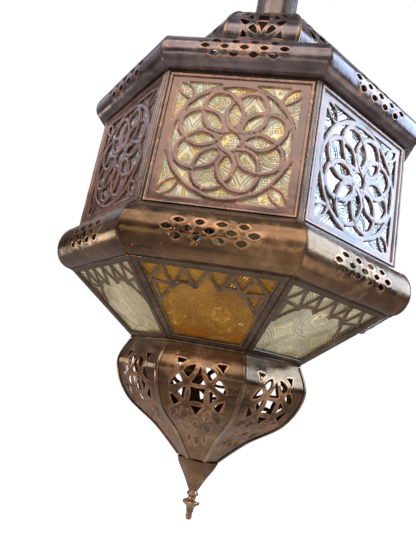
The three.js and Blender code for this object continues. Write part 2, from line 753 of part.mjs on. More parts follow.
// Ferrule, finial, neck ring and roof
const spigotRadius = bulbEndRadius - (2 * sheet + fit) / inRatio;
const ferrule = () => eightSided([
  [0, ferruleTop - ferruleHeight], [ferruleEndRadius, ferruleTop - ferruleHeight],
  [bulbEndRadius + sheet, ferruleTop],
  [spigotRadius, ferruleTop], [spigotRadius, ferruleTop + spigotHeight / 2],
  [0, ferruleTop + spigotHeight / 2],
]);
function finial() {
  const side = finialStations.map(([radius, share]) => [radius, finialTop - share * finialLength]);
  return turned([[0, finialTop], ...side, [0, finialTop - finialLength]], roundSegments);
}
const roundInside = (radius, segments) => radius / Math.cos(Math.PI / segments);
function neckRing() {
  const inner = stemRadius + fit;
  const bottom = domeTop + fit;
  return turned(closed([
    [inner, bottom], [inner + ringWidth, bottom],
    [inner + ringWidth + ringBulge, bottom + ringHeight / 2],
    [inner + ringWidth / 2, bottom + ringHeight], [inner, bottom + ringHeight],
  ]), stemSegments);
}
const roof = () => slopedWall(shoulderRadius, cageRadius, roofTop, roofBottom, sheet);

// Canopy, its lock ring and the ceiling plate with its two legs
function canopy() {
  const neck = (stemRadius + fit) / inRatio;
  const section = [
    [canopyRadius, 0], [canopyRadius, -canopyRim], [canopyShoulderRadius, -canopyShoulderDrop],
    [neck + canopyFlat, -canopyDepth], [neck, -canopyDepth],
  ];
  const inside = [
    [neck, canopyWall - canopyDepth], [neck + canopyFlat - canopyWall / 2, canopyWall - canopyDepth],
    [canopyShoulderRadius - canopyWall, canopyWall / 2 - canopyShoulderDrop],
    [canopyRadius - canopyWall, -canopyRim], [canopyRadius - canopyWall, 0],
  ];
  return eightSided(closed([...section, ...inside]));
}
function lockRing() {
  const inner = stemRadius + fit;
  const top = -canopyDepth - fit;
  return tube(inner + ringWidth, inner, top - ringHeight, top, stemSegments);
}
const stemBore = stemRadius - stemWall;
const legOuter = Math.sqrt((stemBore * Math.cos(Math.PI / stemSegments) - fit) ** 2 - legHalfWidth ** 2);
const boltHole = (radius) => solid(
  rod(radius, -canopyRadius, canopyRadius).rotateY(Math.PI / 2).translate(0, 0, -plateThickness - boltDrop));
function ceilingPlate() {
  const screwHole = (side) => circle(plateScrewRadius + fit, (side * plateScrewSpacing) / 2, 0);
  const cableHole = circle(cableHoleRadius, 0, cableHoleRadius + legHalfWidth);
  const rim = circle(plateRadius, 0, 0, plateSegments);
  const disc = solid(slab(rim, -plateThickness, 0, [screwHole(1), screwHole(-1), cableHole]));
  const leg = (side) => solid(slab(
    shifted(rectangle(legThickness / 2, legHalfWidth), side * (legOuter - legThickness / 2), 0),
    -plateThickness - legLength, -plateThickness / 2,
  ));
  return cut(join([disc, leg(1), leg(-1)]), [boltHole(boltRadius + fit)]);
}
const stemTop = -plateThickness - fit;
const stemBottom = domeTop - stemSpigot;
const stem = () => cut(
  solid(tube(stemRadius, stemBore, stemBottom, stemTop, stemSegments)), [boltHole(boltRadius + fit)]);
const crossBolt = () => join([
  solid(rod(boltRadius, -stemRadius - boltShow, stemRadius + boltNeck)),
  solid(rod(boltHeadRadius, stemRadius + fit, stemRadius + fit + boltHeadHeight, boltHeadSides)),
]);
function plateScrew(side) {
  const x = (side * plateScrewSpacing) / 2;
  const headTop = -plateThickness - fit;
  return join([
    solid(rod(plateScrewRadius, headTop - screwEnd, 0)),
    solid(rod(screwHeadRadius, headTop - screwHeadHeight, headTop)),
  ]).translate(x, 0, 0);
}

// Stem flange that carries the dome, lamp rod, nut, lampholder and lamp
const flangeTop = stemBottom - fit;
function stemFlange() {
  const spigot = stemBore * Math.cos(Math.PI / stemSegments) - fit;
  const hole = roundInside(rodRadius + fit, stemSegments);
  const flangeRadius = apothem(domeInsideAt(flangeTop)) - fit;
  return turned(closed([
    [hole, flangeTop - flangeThickness], [flangeRadius, flangeTop - flangeThickness],
    [flangeRadius, flangeTop], [spigot, flangeTop],
    [spigot, flangeTop + stemSpigot / 2], [hole, flangeTop + stemSpigot / 2],
  ]), stemSegments);
}
const nutBottom = flangeTop + stemSpigot / 2 + fit;
const nutSides = 6;
const rodNut = () => tube(
  nutRadius, roundInside(rodRadius + fit, nutSides), nutBottom, nutBottom + nutHeight, nutSides);
const holderTop = cageTop - holderTopDrop;
const boreTop = holderTop - holderNeck;
const capTop = boreTop - fit;
const capBottom = capTop - capHeight;
const lampRod = () => tube(rodRadius, rodBore, boreTop + fit, nutBottom + nutHeight + rodEnd, boreSegments);
function lampholder() {
  const neck = roundInside(rodRadius + fit, roundSegments);
  const bore = capRadius + fit;
  const outer = bore + holderWall;
  return turned(closed([
    [neck, holderTop], [neck + holderWall, holderTop], [outer, boreTop], [outer, capBottom + capShow],
    [bore, capBottom + capShow], [bore, boreTop], [neck, boreTop],
  ]), roundSegments);
}
const lampCap = () => turned([
  [0, capTop], [capButton, capTop], [capRadius, capTop - capShoulder],
  [capRadius, capBottom], [0, capBottom],
], roundSegments);
function lampBulb() {
  const top = capBottom - fit;
  const outer = lampStations.map(([radius, share]) => [radius, top - share * lampLength]);
  const inner = lampStations.map(([radius, share]) => [
    Math.max(0, radius - lampWall), top - share * (lampLength - lampWall)]);
  return turned([...outer.slice().reverse(), ...inner], roundSegments);
}

// Assembly
add('ceiling_plate', shaped(ceilingPlate()), steel);
add('plate_screw_left', shaped(plateScrew(-1)), steel);
add('plate_screw_right', shaped(plateScrew(1)), steel);
add('canopy', shaped(solid(canopy())), agedCopper);
add('canopy_lock_ring', shaped(solid(lockRing())), brightCopper);
add('stem_tube', shaped(stem()), darkFrame);
add('stem_cross_bolt', shaped(crossBolt()).rotateY(Math.PI / 2)
  .translate(0, 0, -plateThickness - boltDrop), steel);
add('neck_ring', shaped(solid(neckRing())), brightCopper);
const domeOpenings = goreOpenings.slice(0, domeOpeningCount);
add('dome', shaped(onion(domeEndRadius, domeHeight, domeBottom, 1, domeOpenings)), agedCopper);
add('stem_flange', shaped(solid(stemFlange())), steel);
add('rod_nut', shaped(solid(rodNut())), brass);
add('lamp_rod', shaped(solid(lampRod())), steel);
add('lampholder', shaped(solid(lampholder())), blackPlastic);
add('lamp_cap', shaped(solid(lampCap())), brass);
add('lamp_bulb', shaped(solid(lampBulb())), lampGlass);
add('roof', shaped(solid(roof())), agedCopper);
add('upper_collar', shaped(collar(upperCollar, upperCollarTop)), agedCopper);
add('cage_frame', shaped(cageFrame()), darkFrame);
const fixedPanel = atCage(cagePanel(panelHalfWidth, panelHalfHeight));
facets.filter((facet) => facet !== doorFacet).forEach((facet) => {
  const tint = facet % 2 === 0 ? clearGlass : amberGlass;
  add(`cage_panel_${facet}`, fixedPanel, redCopper, facet);
  add(`cage_glass_${facet}`, atCage(solid(plate(
    rectangle(panelHalfWidth, panelHalfHeight), glassBack, glassFront))), tint, facet);
});
const doorPanelHalfWidth = panelHalfWidth - doorBar - fit;
const doorPanelHalfHeight = panelHalfHeight - doorBar - fit;
add('door_frame', atCage(doorFrame()), darkFrame, doorFacet);
add('door_panel', atCage(cagePanel(doorPanelHalfWidth, doorPanelHalfHeight)), redCopper, doorFacet);
add('door_glass', atCage(solid(plate(
  rectangle(doorPanelHalfWidth, doorPanelHalfHeight), glassBack, glassFront))), clearGlass, doorFacet);
hingeLevels.forEach((bottom, i) => {
  const top = bottom + 2 * barrelLength + fit;
  const pin = solid(atHinge(rod(pinRadius, bottom - pinEnd, top + pinHeadHeight / 2)));
  const head = solid(atHinge(rod(pinHeadRadius, top, top + pinHeadHeight)));
  add(`hinge_pin_${i}`, atCage(join([pin, head])), brass, doorFacet);
});
add('latch_arm', atCage(latchArm()), brightCopper, doorFacet);
add('latch_rivet', atCage(latchRivet()), brass, doorFacet);
add('lower_collar', shaped(collar(lowerCollar, lowerCollarTop)), agedCopper);
add('lower_crown', shaped(crownFrame()), darkFrame);
facets.forEach((facet) => {
  add(`crown_glass_${facet}`, crownGlass(), facet % 2 === 0 ? amberGlass : clearGlass, facet);
});
add('bottom_bulb', shaped(onion(bulbEndRadius, bulbHeight, bulbTop, -1, goreOpenings)), agedCopper);
add('ferrule', shaped(solid(ferrule())), agedCopper);
add('finial', shaped(solid(finial())), brightCopper);

export default group;
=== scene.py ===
"""Looks of the eight-sided pierced copper lantern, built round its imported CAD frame."""
import math

import bmesh
import bpy
import numpy as np
from mathutils import Matrix, Vector
from mathutils.geometry import delaunay_2d_cdt


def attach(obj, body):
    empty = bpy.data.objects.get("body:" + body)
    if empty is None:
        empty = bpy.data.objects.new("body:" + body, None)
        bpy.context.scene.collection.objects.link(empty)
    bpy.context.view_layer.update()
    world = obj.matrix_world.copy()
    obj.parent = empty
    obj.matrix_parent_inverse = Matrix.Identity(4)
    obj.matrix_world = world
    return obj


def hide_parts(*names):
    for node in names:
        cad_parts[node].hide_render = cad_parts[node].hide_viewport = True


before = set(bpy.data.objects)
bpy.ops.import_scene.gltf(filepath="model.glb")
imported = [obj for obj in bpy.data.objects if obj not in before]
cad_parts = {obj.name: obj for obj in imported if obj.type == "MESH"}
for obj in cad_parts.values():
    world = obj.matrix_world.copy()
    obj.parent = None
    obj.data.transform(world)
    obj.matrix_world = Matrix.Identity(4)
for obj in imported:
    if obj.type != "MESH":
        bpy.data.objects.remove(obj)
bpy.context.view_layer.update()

# Sizes in millimetres, the same as in the part's source; radii are those of the corners
MM = 0.001
SIDES = 8
HALF_STEP = math.pi / SIDES
IN_RATIO = math.cos(HALF_STEP)
SIDE_RATIO = math.sin(HALF_STEP)
CAGE_RADIUS = 190.0
CAGE_HEIGHT = 138.8
SHOULDER_RADIUS = 104.0
CROWN_TOP_RADIUS = 188.0
CROWN_HEIGHT = 61.6
DOME_TOP = -180.0
DOME_LENGTH = 111.0
DOME_BOTTOM = DOME_TOP - DOME_LENGTH
ROOF_TOP = -291.3
ROOF_BOTTOM = -348.3
UPPER_COLLAR_TOP = -348.6
CAGE_TOP = -383.7
CAGE_BOTTOM = CAGE_TOP - CAGE_HEIGHT
CAGE_MIDDLE = CAGE_TOP - CAGE_HEIGHT / 2
LOWER_COLLAR_TOP = CAGE_BOTTOM - 0.3
CROWN_TOP = -571.3
CROWN_BOTTOM = CROWN_TOP - CROWN_HEIGHT
BULB_TOP = CROWN_BOTTOM - 0.3
BULB_LENGTH = 119.6
FERRULE_TOP = BULB_TOP - BULB_LENGTH - 0.3
FINIAL_TOP = FERRULE_TOP - 34.3
LAMP_TOP = -428.3
PANEL_HALF_WIDTH = CAGE_RADIUS * SIDE_RATIO - 3.6
PANEL_HALF_HEIGHT = CAGE_HEIGHT / 2 - 2.1
DOOR_HALF_WIDTH = PANEL_HALF_WIDTH - 4.3
DOOR_HALF_HEIGHT = PANEL_HALF_HEIGHT - 4.3
DOOR_FACET = 4
BEAD_WIDTH = 4.0
BORDER = 5.0
SHEET_FRONT = -0.6
SHEET_BACK = -1.6
GLASS_FRONT = -1.9
GLASS_BACK = -4.9

# Camera of the photograph, from a fit to the lantern's corners
AZIMUTH = math.radians(9.887)
ELEVATION = math.radians(-12.6167)
ROLL = math.radians(10.4693)
CAMERA_PLACE = Vector((64.97, -529.96, -662.64)) * MM
FOCAL_PIXELS, IMAGE_HEIGHT = 438.4253, 555
SENSOR = 36.0


def turn_matrix(facet):
    """Turns a point of the front facet onto another facet."""
    cosine, sine = math.cos(2 * HALF_STEP * facet), math.sin(2 * HALF_STEP * facet)
    return np.array([[cosine, -sine, 0], [sine, cosine, 0], [0, 0, 1]])


def smoothstep(low, high, value):
    t = np.clip((value - low) / (high - low), 0, 1)
    return t * t * (3 - 2 * t)


def add_camera():
    level = math.cos(ELEVATION)
    back = Vector((math.sin(AZIMUTH) * level, -math.cos(AZIMUTH) * level, math.sin(ELEVATION)))
    side = (-back).cross(Vector((0, 0, 1))).normalized()
    top = side.cross(-back)
    right = side * math.cos(ROLL) + top * math.sin(ROLL)
    up = -side * math.sin(ROLL) + top * math.cos(ROLL)
    data = bpy.data.cameras.new("camera")
    data.sensor_width = SENSOR
    data.lens = FOCAL_PIXELS / IMAGE_HEIGHT * SENSOR
    data.clip_end = 60.0
    camera = bpy.data.objects.new("camera", data)
    camera.matrix_world = Matrix.Translation(CAMERA_PLACE) @ Matrix((right, up, back)).transposed().to_4x4()
    bpy.context.scene.collection.objects.link(camera)
    bpy.context.scene.camera = camera


# Node trees, written as sums and products of signals
class Signal:
    """An output socket that can be added, multiplied and compared."""

    def __init__(self, tree, socket):
        self.tree = tree
        self.socket = socket

    def __add__(self, other):
        return calculated("ADD", self, other)

    def __sub__(self, other):
        return calculated("SUBTRACT", self, other)

    def __rsub__(self, other):
        return calculated("SUBTRACT", other, self)

    def __mul__(self, other):
        return calculated("MULTIPLY", self, other)

    def __gt__(self, other):
        return calculated("GREATER_THAN", self, other)

    def __lt__(self, other):
        return calculated("LESS_THAN", self, other)

    def __abs__(self):
        return calculated("ABSOLUTE", self)


def feed(tree, value, socket):
    """Links a signal to a socket, or sets the socket to a number, a vector or a colour."""
    if isinstance(value, Signal):
        tree.links.new(value.socket, socket)
    else:
        socket.default_value = (*value, 1.0) if socket.type == "RGBA" else value


def tree_of(values):
    return next(value.tree for value in values if isinstance(value, Signal))


def calculated(operation, *values):
    tree = tree_of(values)
    node = tree.nodes.new("ShaderNodeMath")
    node.operation = operation
    for value, socket in zip(values, node.inputs):
        feed(tree, value, socket)
    return Signal(tree, node.outputs[0])


def largest(*values):
    most = values[0]
    for value in values[1:]:
        most = calculated("MAXIMUM", most, value)
    return most


def made_node(tree, kind, output, **inputs):
    node = tree.nodes.new("ShaderNode" + kind)
    for name, value in inputs.items():
        feed(tree, value, node.inputs[name])
    return Signal(tree, node.outputs[output])


def noise(vector, scale, detail=4.0, rough=0.55, distortion=0.0):
    return made_node(vector.tree, "TexNoise", "Fac", Vector=vector, Scale=scale, Detail=detail,
                     Roughness=rough, Distortion=distortion)


def stretched(vector, scale):
    return made_node(vector.tree, "Mapping", "Vector", Vector=vector, Scale=scale)


def axis_of(vector, axis):
    return made_node(vector.tree, "SeparateXYZ", axis, Vector=vector)


def bump(height, strength, distance):
    return made_node(height.tree, "Bump", "Normal", Height=height, Strength=strength, Distance=distance)


def ramp(value, *stops):
    """Colours along a value; a stop is a place with its colour or grey."""
    node = value.tree.nodes.new("ShaderNodeValToRGB")
    elements = node.color_ramp.elements
    while len(elements) < len(stops):
        elements.new(0.5)
    for element, (place, color) in zip(elements, stops):
        element.position = place
        element.color = (*color, 1.0) if isinstance(color, tuple) else (color, color, color, 1.0)
    feed(value.tree, value, node.inputs["Fac"])
    return Signal(value.tree, node.outputs["Color"])


def mixed(factor, first, second, mode="MIX"):
    tree = tree_of((factor, first, second))
    node = tree.nodes.new("ShaderNodeMix")
    node.data_type = "RGBA"
    node.blend_type = mode
    for value, index in ((factor, 0), (first, 6), (second, 7)):
        feed(tree, value, node.inputs[index])
    return Signal(tree, node.outputs[2])


def place_in(tree):
    """Place in space in metres."""
    return made_node(tree, "TexCoord", "Object")


def flow_in(tree):
    """Millimetres along and across the sheet, and the wear there from 0 to 1."""
    node = tree.nodes.new("ShaderNodeAttribute")
    node.attribute_name = "flow"
    return Signal(tree, node.outputs["Vector"])


def new_material(name):
    material = bpy.data.materials.new(name)
    material.use_nodes = True
    return material, material.node_tree


def shade(tree, values):
    shader = tree.nodes["Principled BSDF"]
    for name, value in values.items():
        feed(tree, value, shader.inputs[name])


# Aged copper: mottled patina, long wiping streaks, bare copper near edges and small chips
def copper(name, tones, bare, chip, bare_amount=0.5, rough=(0.16, 0.34), dents=0.3, metallic=0.85, coat=0.3,
           coat_ior=1.5):
    material, tree = new_material(name)
    place, flow = place_in(tree), flow_in(tree)
    wear = axis_of(flow, "Z")
    patches = noise(place, 11.0, 6.0, 0.6, 0.5)
    cloud = noise(place, 45.0, 5.0, 0.62, 0.3)
    streaks = noise(stretched(flow, (0.014, 0.22, 0.0)), 1.0, 4.0, 0.6)
    tone = cloud * 0.3 + patches * 0.5 + (streaks - 0.5) * 0.2 + 0.1
    color = ramp(tone, *zip((0.37, 0.5, 0.63), tones))
    # Bare copper where the flow's wear is high: near openings, and along the crest of the cage panels' bead
    # frames, where it is also a painted highlight line
    worn = ramp(wear * 0.24 + cloud * 0.95, (0.54, 0.0), (0.72, 1.0))
    color = mixed(worn * bare_amount, color, bare)
    spots = ramp(wear * 0.11 + noise(place, 210.0, 4.0, 0.6, 0.6), (0.665, 0.0), (0.69, 1.0))
    color = mixed(spots * 0.8, color, chip)
    wiped = ramp(streaks * 0.35 + cloud * 0.65, *zip((0.38, 0.62), rough))
    waves = noise(place, 22.0, 2.0, 0.4)
    grain = noise(stretched(flow, (0.1, 1.6, 0.0)), 1.0, 3.0, 0.7)
    normal = bump(waves * dents + cloud * 0.16 + grain * 0.012 + spots * -0.03, 1.0, 0.0022)
    shade(tree, {"Base Color": color, "Metallic": metallic, "Roughness": wiped, "Normal": normal,
                 "Coat Weight": coat, "Coat Roughness": 0.16, "Coat IOR": coat_ior, "Coat Normal": normal})
    return material


# Measures in millimetres of the glass's pressed pattern, the same for its relief and its colour
MEDALLION_PITCH = 54.0
LOBE_CENTRE = 10.5
LOBE_RADIUS = 11.5
SECOND_LINE = 2.2
PETAL_LENGTH = 6.4
PETALS_REACH = 8.5


def pressed_height(tree, ring_share):
    """Height of the pattern: dotted medallions with a flower, double rings and arcs between them."""
    flow = flow_in(tree)
    half = MEDALLION_PITCH / 2
    x, y = (calculated("WRAP", axis_of(flow, axis), half, -half) for axis in "XY")
    radius = calculated("SQRT", x * x + y * y)
    angle = calculated("ARCTAN2", y, x)

    def line(distance, width):
        return largest(1.0 - calculated("DIVIDE", abs(distance), width), 0.0)

    wide = largest(abs(x), abs(y)) - LOBE_CENTRE
    slim = calculated("MINIMUM", abs(x), abs(y))
    past = calculated("SQRT", wide * wide + slim * slim) - LOBE_RADIUS
    arcs = (calculated("SINE", radius * 2.2) * 0.5 + 0.5) * ring_share * (past > 3.6) * (radius < 29.5)
    cells = tree.nodes.new("ShaderNodeTexVoronoi")
    cells.voronoi_dimensions = "2D"
    for name, value in (("Scale", 0.42), ("Randomness", 0.25), ("Vector", flow)):
        feed(tree, value, cells.inputs[name])
    dots = largest(Signal(tree, cells.outputs["Distance"]) * -2.6 + 1.15, 0.0)
    dots = dots * largest(past < -1.8, (radius > 31.5) * ring_share) * (radius > 9.5)
    lobe = abs(calculated("COSINE", angle * 2.5))
    petals = line(lobe * -PETAL_LENGTH + radius, 1.3) * (radius < PETALS_REACH)
    return largest(line(past, 1.1), arcs, dots, line(past - SECOND_LINE, 0.8), petals)


# Pressed glass: tinted, seen through, its pattern painted as whitish crests between dark edges, a painted
# highlight and painted shade for the light that its relief bends
def glass(name, tones, crest_highlight, transmission, contrast, rough=0.12, painted_glint=None, foot=None, gloss=1.5,
          rings=0.35, painted_backlight=0.0, depth=0.0007):
    material, tree = new_material(name)
    place = place_in(tree)
    color = ramp(noise(place, 24.0, 4.0, 0.6, 0.6), *zip((0.38, 0.5, 0.62), tones))
    # The foot option lays a darker band on the pane below a set height in space: a painted reflection edge
    if foot is not None:
        level, tone = foot
        drop = level - 0.011 - axis_of(place, "Z") + noise(place, 26.0, 2.0, 0.5) * 0.022
        drop = ramp(drop * 100.0 + 0.5, (0.40, 0.0), (0.60, 1.0))
        color = mixed(drop * 0.85, color, tone)
    height = pressed_height(tree, rings)
    # Painted shade along the pattern's edges and a painted highlight on its crests, standing in for the light
    # the relief bends
    edges = (1.0 - height) * height * (3.4 * contrast)
    color = mixed(edges, color, tuple(0.22 * channel for channel in tones[0]))
    crest = height * height * contrast
    color = mixed(crest, color, crest_highlight)
    if painted_glint is not None:
        # Yellow bands over the pane are painted glints of gold light
        glint_bands = ramp(noise(place, 42.0, 3.0, 0.5, 1.5), (0.53, 0.0), (0.57, 1.0), (0.62, 0.0))
        color = mixed(glint_bands * 0.8, color, painted_glint)
    normal = bump(noise(place, 70.0, 3.0, 0.5) * 0.8 + height, 1.0, depth)
    # The emission, in the glass's own colour, is painted light from behind; the glass is no lamp
    shade(tree, {"Base Color": color, "Emission Color": color, "Emission Strength": painted_backlight,
                 "Transmission Weight": crest * (-0.5 * transmission) + transmission,
                 "Roughness": rough, "IOR": 1.45, "Normal": normal,
                 "Coat Weight": 1.0, "Coat Roughness": 0.08, "Coat IOR": gloss, "Coat Normal": normal})
    return material


def plain_metal(name, color, rough):
    material, tree = new_material(name)
    grain = noise(place_in(tree), 60.0, 5.0, 0.6)
    dark = tuple(0.6 * channel for channel in color)
    shade(tree, {"Base Color": ramp(grain, (0.35, dark), (0.65, color)), "Metallic": 1.0,
                 "Roughness": grain * 0.3 + (rough - 0.1), "Normal": bump(grain, 0.3, 0.0006)})
    return material


def moulded_plastic(name, dark, light):
    material, tree = new_material(name)
    grain = noise(place_in(tree), 200.0, 3.0, 0.5)
    shade(tree, {"Base Color": ramp(grain, (0.3, dark), (0.7, light)), "Roughness": 0.35,
                 "Normal": bump(grain, 0.15, 0.0004)})
    return material


AGED = copper("aged_copper", ((0.05, 0.028, 0.013), (0.178, 0.097, 0.045), (0.32, 0.192, 0.098)),
              (0.49, 0.28, 0.165), (0.60, 0.22, 0.08), 0.6, (0.13, 0.30), 0.8)
# A blue-grey copy of the aged copper for the upper collar, the dome and the roof: its blue tint is a painted
# sheen of window light on the lantern's top
BLUE_SHEEN_COPPER = copper("blue_sheen_copper", ((0.055, 0.045, 0.049), (0.175, 0.140, 0.150), (0.31, 0.255, 0.268)),
              (0.44, 0.26, 0.17), (0.58, 0.22, 0.08), 0.6, (0.13, 0.30), 0.8)
RED = copper("red_copper", ((0.05, 0.016, 0.008), (0.135, 0.045, 0.023), (0.24, 0.09, 0.048)),
             (0.48, 0.19, 0.09), (0.60, 0.24, 0.09), 0.42, (0.20, 0.38), 0.8, 0.38, 0.9, 1.75)
FRAME = copper("dark_frame", ((0.036, 0.025, 0.016), (0.098, 0.066, 0.043), (0.22, 0.145, 0.092)),
               (0.28, 0.17, 0.10), (0.30, 0.17, 0.09), dents=0.5, metallic=0.5, coat=0.25)
SEAM = copper("seam_copper", ((0.12, 0.072, 0.042), (0.27, 0.168, 0.102), (0.46, 0.31, 0.20)),
              (0.62, 0.41, 0.27), (0.68, 0.32, 0.15), rough=(0.15, 0.32), coat=0.4)
# A paler, greyer copy of the dark frame's metal for the post beads and the stem sleeve: the paleness is a
# painted highlight
SHEEN_FRAME = copper("sheen_frame_copper", ((0.075, 0.058, 0.052), (0.155, 0.122, 0.108), (0.27, 0.22, 0.20)),
              (0.36, 0.28, 0.24), (0.46, 0.25, 0.15), metallic=0.75, coat=0.5)
# The foot bands of the amber and the clear crown glass are painted reflection edges
AMBER = glass("amber_glass", ((0.40, 0.18, 0.006), (0.53, 0.26, 0.010), (0.67, 0.36, 0.022)),
              (0.92, 0.60, 0.10), 0.5, 0.6, foot=(-0.6165, (0.42, 0.16, 0.003)), gloss=1.2, painted_backlight=0.10)
CLEAR = glass("clear_glass", ((0.58, 0.50, 0.27), (0.78, 0.70, 0.43), (0.93, 0.86, 0.61)),
              (0.99, 0.97, 0.88), 0.35, 0.9, foot=(-0.6245, (0.50, 0.38, 0.11)), painted_backlight=0.155)
# Glass of the even cage facets; its yellow bands are painted glints
CREAM = glass("cream_glass", ((0.54, 0.45, 0.17), (0.82, 0.74, 0.42), (0.97, 0.93, 0.72)),
              (1.0, 0.99, 0.92), 0.28, 1.0, painted_glint=(1.0, 0.60, 0.02), gloss=1.8, rings=1.0, painted_backlight=0.185)
# A dark brown copy of the amber glass for the odd cage facets: its darkness is painted shade of panes with no
# light behind them
SHADED_AMBER = glass("shaded_amber_glass", ((0.10, 0.055, 0.025), (0.17, 0.095, 0.048), (0.26, 0.16, 0.085)),
              (0.36, 0.23, 0.12), 0.4, 0.5, 0.2, gloss=3.2, rings=0.4, painted_backlight=0.02, depth=0.0003)
LAMP_GLASS = glass("lamp_glass", ((0.85, 0.80, 0.68), (0.9, 0.86, 0.76), (0.95, 0.92, 0.85)),
                   (0.95, 0.92, 0.85), 0.5, 0.0, 0.3)
STEEL = plain_metal("zinc_steel", (0.52, 0.53, 0.55), 0.38)
BRASS = plain_metal("old_brass", (0.55, 0.40, 0.18), 0.34)
PLASTIC = moulded_plastic("black_plastic", (0.012, 0.011, 0.01), (0.03, 0.028, 0.026))


# Pieces; a part is its points in millimetres, its faces and its flow
def mesh_object(name, part, material, sharp):
    points, faces, flow = part
    mesh = bpy.data.meshes.new(name)
    faces = [tuple(int(i) for i in face) for face in faces]
    mesh.from_pydata((np.asarray(points, float) * MM).tolist(), [], faces)
    mesh.validate()
    edit = bmesh.new()
    edit.from_mesh(mesh)
    for face in edit.faces:
        face.smooth = True
    limit = math.radians(sharp)
    for edge in edit.edges:
        edge.smooth = len(edge.link_faces) == 2 and edge.calc_face_angle(0.0) < limit
    edit.to_mesh(mesh)
    edit.free()
    attribute = mesh.attributes.new("flow", "FLOAT_VECTOR", "POINT")
    attribute.data.foreach_set("vector", np.asarray(flow, np.float32).ravel())
    mesh.materials.append(material)
    piece = bpy.data.objects.new(name, mesh)
    bpy.context.scene.collection.objects.link(piece)
    return piece


def merge_points(piece, distance=0.00001):
    """Joins the points of a piece that lie on each other and turns its faces outwards."""
    edit = bmesh.new()
    edit.from_mesh(piece.data)
    bmesh.ops.remove_doubles(edit, verts=edit.verts, dist=distance)
    bmesh.ops.recalc_face_normals(edit, faces=edit.faces)
    edit.to_mesh(piece.data)
    edit.free()


def add_piece(name, part, material, slot, *nodes, body="body", sharp=40.0, merge=False):
    """Makes a piece, gives it its body and finish, and hides the CAD nodes that it stands for."""
    piece = mesh_object(name, part, material, sharp)
    if merge:
        merge_points(piece)
    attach(piece, body)
    if nodes:
        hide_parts(*nodes)


def joined(parts):
    """One part from several."""
    points, faces, flows, start = [], [], [], 0
    for part_points, part_faces, part_flow in parts:
        points.append(part_points)
        flows.append(part_flow)
        faces.extend([tuple(i + start for i in face) for face in part_faces])
        start += len(part_points)
    return np.concatenate(points), faces, np.concatenate(flows)


def around(part, facets=range(SIDES)):
    """A part of the front facet, repeated on the facets named."""
    points, faces, flow = part
    return joined([(points @ turn_matrix(facet).T, faces, flow + [400.0 * facet, 0, 0]) for facet in facets])


def ring_faces(rings, size, closed=True, section_closed=True):
    """Quads between rings of points that follow each other."""
    faces = []
    for i in range(rings if closed else rings - 1):
        j = (i + 1) % rings
        for k in range(size if section_closed else size - 1):
            n = (k + 1) % size
            faces.append((i * size + k, j * size + k, j * size + n, i * size + n))
    return faces


def tube_faces(rings, size):
    """Faces of an open tube with both ends shut, seen from outside."""
    faces = [(a, d, c, b) for a, b, c, d in ring_faces(rings, size, closed=False)]
    return faces + [tuple(range(size))[::-1], tuple(range((rings - 1) * size, rings * size))]


def lengths_along(points):
    return np.concatenate([[0], np.cumsum(np.linalg.norm(np.diff(points, axis=0), axis=1))])


# Flat outlines, as arrays of points in millimetres
def signed_area(loop):
    x, y = loop[:, 0], loop[:, 1]
    return 0.5 * (np.dot(x, np.roll(y, -1)) - np.dot(y, np.roll(x, -1)))


def bowed(corners, bows, spacing=1.0):
    """A closed outline through the corners, each side bowed out by its bow."""
    corners = np.array(corners, float)
    hand = 1 if signed_area(corners) > 0 else -1
    loop = []
    for i, (start, end) in enumerate(zip(corners, np.roll(corners, -1, axis=0))):
        along = end - start
        length = np.linalg.norm(along)
        normal = np.array([along[1], -along[0]]) / length * hand
        steps = max(2, int(round(length / spacing)))
        for t in np.arange(steps) / steps:
            loop.append(start + along * t + normal * bows[i % len(bows)] * 4 * t * (1 - t))
    return np.array(loop)


def rounded(loop):
    return 0.5 * loop + 0.25 * np.roll(loop, 1, axis=0) + 0.25 * np.roll(loop, -1, axis=0)


def both_hands(loop):
    return [loop, loop * np.array([-1.0, 1.0])]


def rectangle_loop(half_width, half_height, spacing=4.0):
    return bowed([(-half_width, -half_height), (half_width, -half_height), (half_width, half_height),
                  (-half_width, half_height)], [0.0], spacing)


def evenly(loop, spacing):
    closed = np.vstack([loop, loop[:1]])
    lengths = lengths_along(closed)
    count = max(6, int(round(lengths[-1] / spacing)))
    at = np.linspace(0, lengths[-1], count, endpoint=False)
    return np.stack([np.interp(at, lengths, closed[:, 0]), np.interp(at, lengths, closed[:, 1])], axis=1)


def inside_loop(points, loop):
    """True for the points inside a closed outline."""
    x, y = points[:, 0][:, None], points[:, 1][:, None]
    x1, y1 = loop[:, 0][None], loop[:, 1][None]
    x2, y2 = np.roll(loop[:, 0], -1)[None], np.roll(loop[:, 1], -1)[None]
    crosses = (y1 > y) != (y2 > y)
    at = x1 + (y - y1) * (x2 - x1) / np.where(y2 == y1, 1e-9, y2 - y1)
    return (np.sum(crosses & (x < at), axis=1) % 2) == 1


def within(points, outline, holes):
    """True for the points inside the outline and outside every hole."""
    keep = inside_loop(points, outline)
    for hole in holes:
        keep &= ~inside_loop(points, hole)
    return keep


def distance_to_path(points, path):
    start, along = path[:-1], path[1:] - path[:-1]
    squared = np.maximum(np.sum(along ** 2, axis=1), 1e-12)
    offset = points[:, None, :] - start[None]
    t = np.clip(np.sum(offset * along[None], axis=2) / squared[None], 0, 1)
    gap = offset - t[..., None] * along[None]
    return np.sqrt(np.min(np.sum(gap ** 2, axis=2), axis=1))


def distance_to_loops(points, loops, far=99.0):
    """Distance to the nearest of several closed outlines."""
    least = np.full(len(points), far)
    for loop in loops:
        least = np.minimum(least, distance_to_path(points, np.vstack([loop, loop[:1]])))
    return least


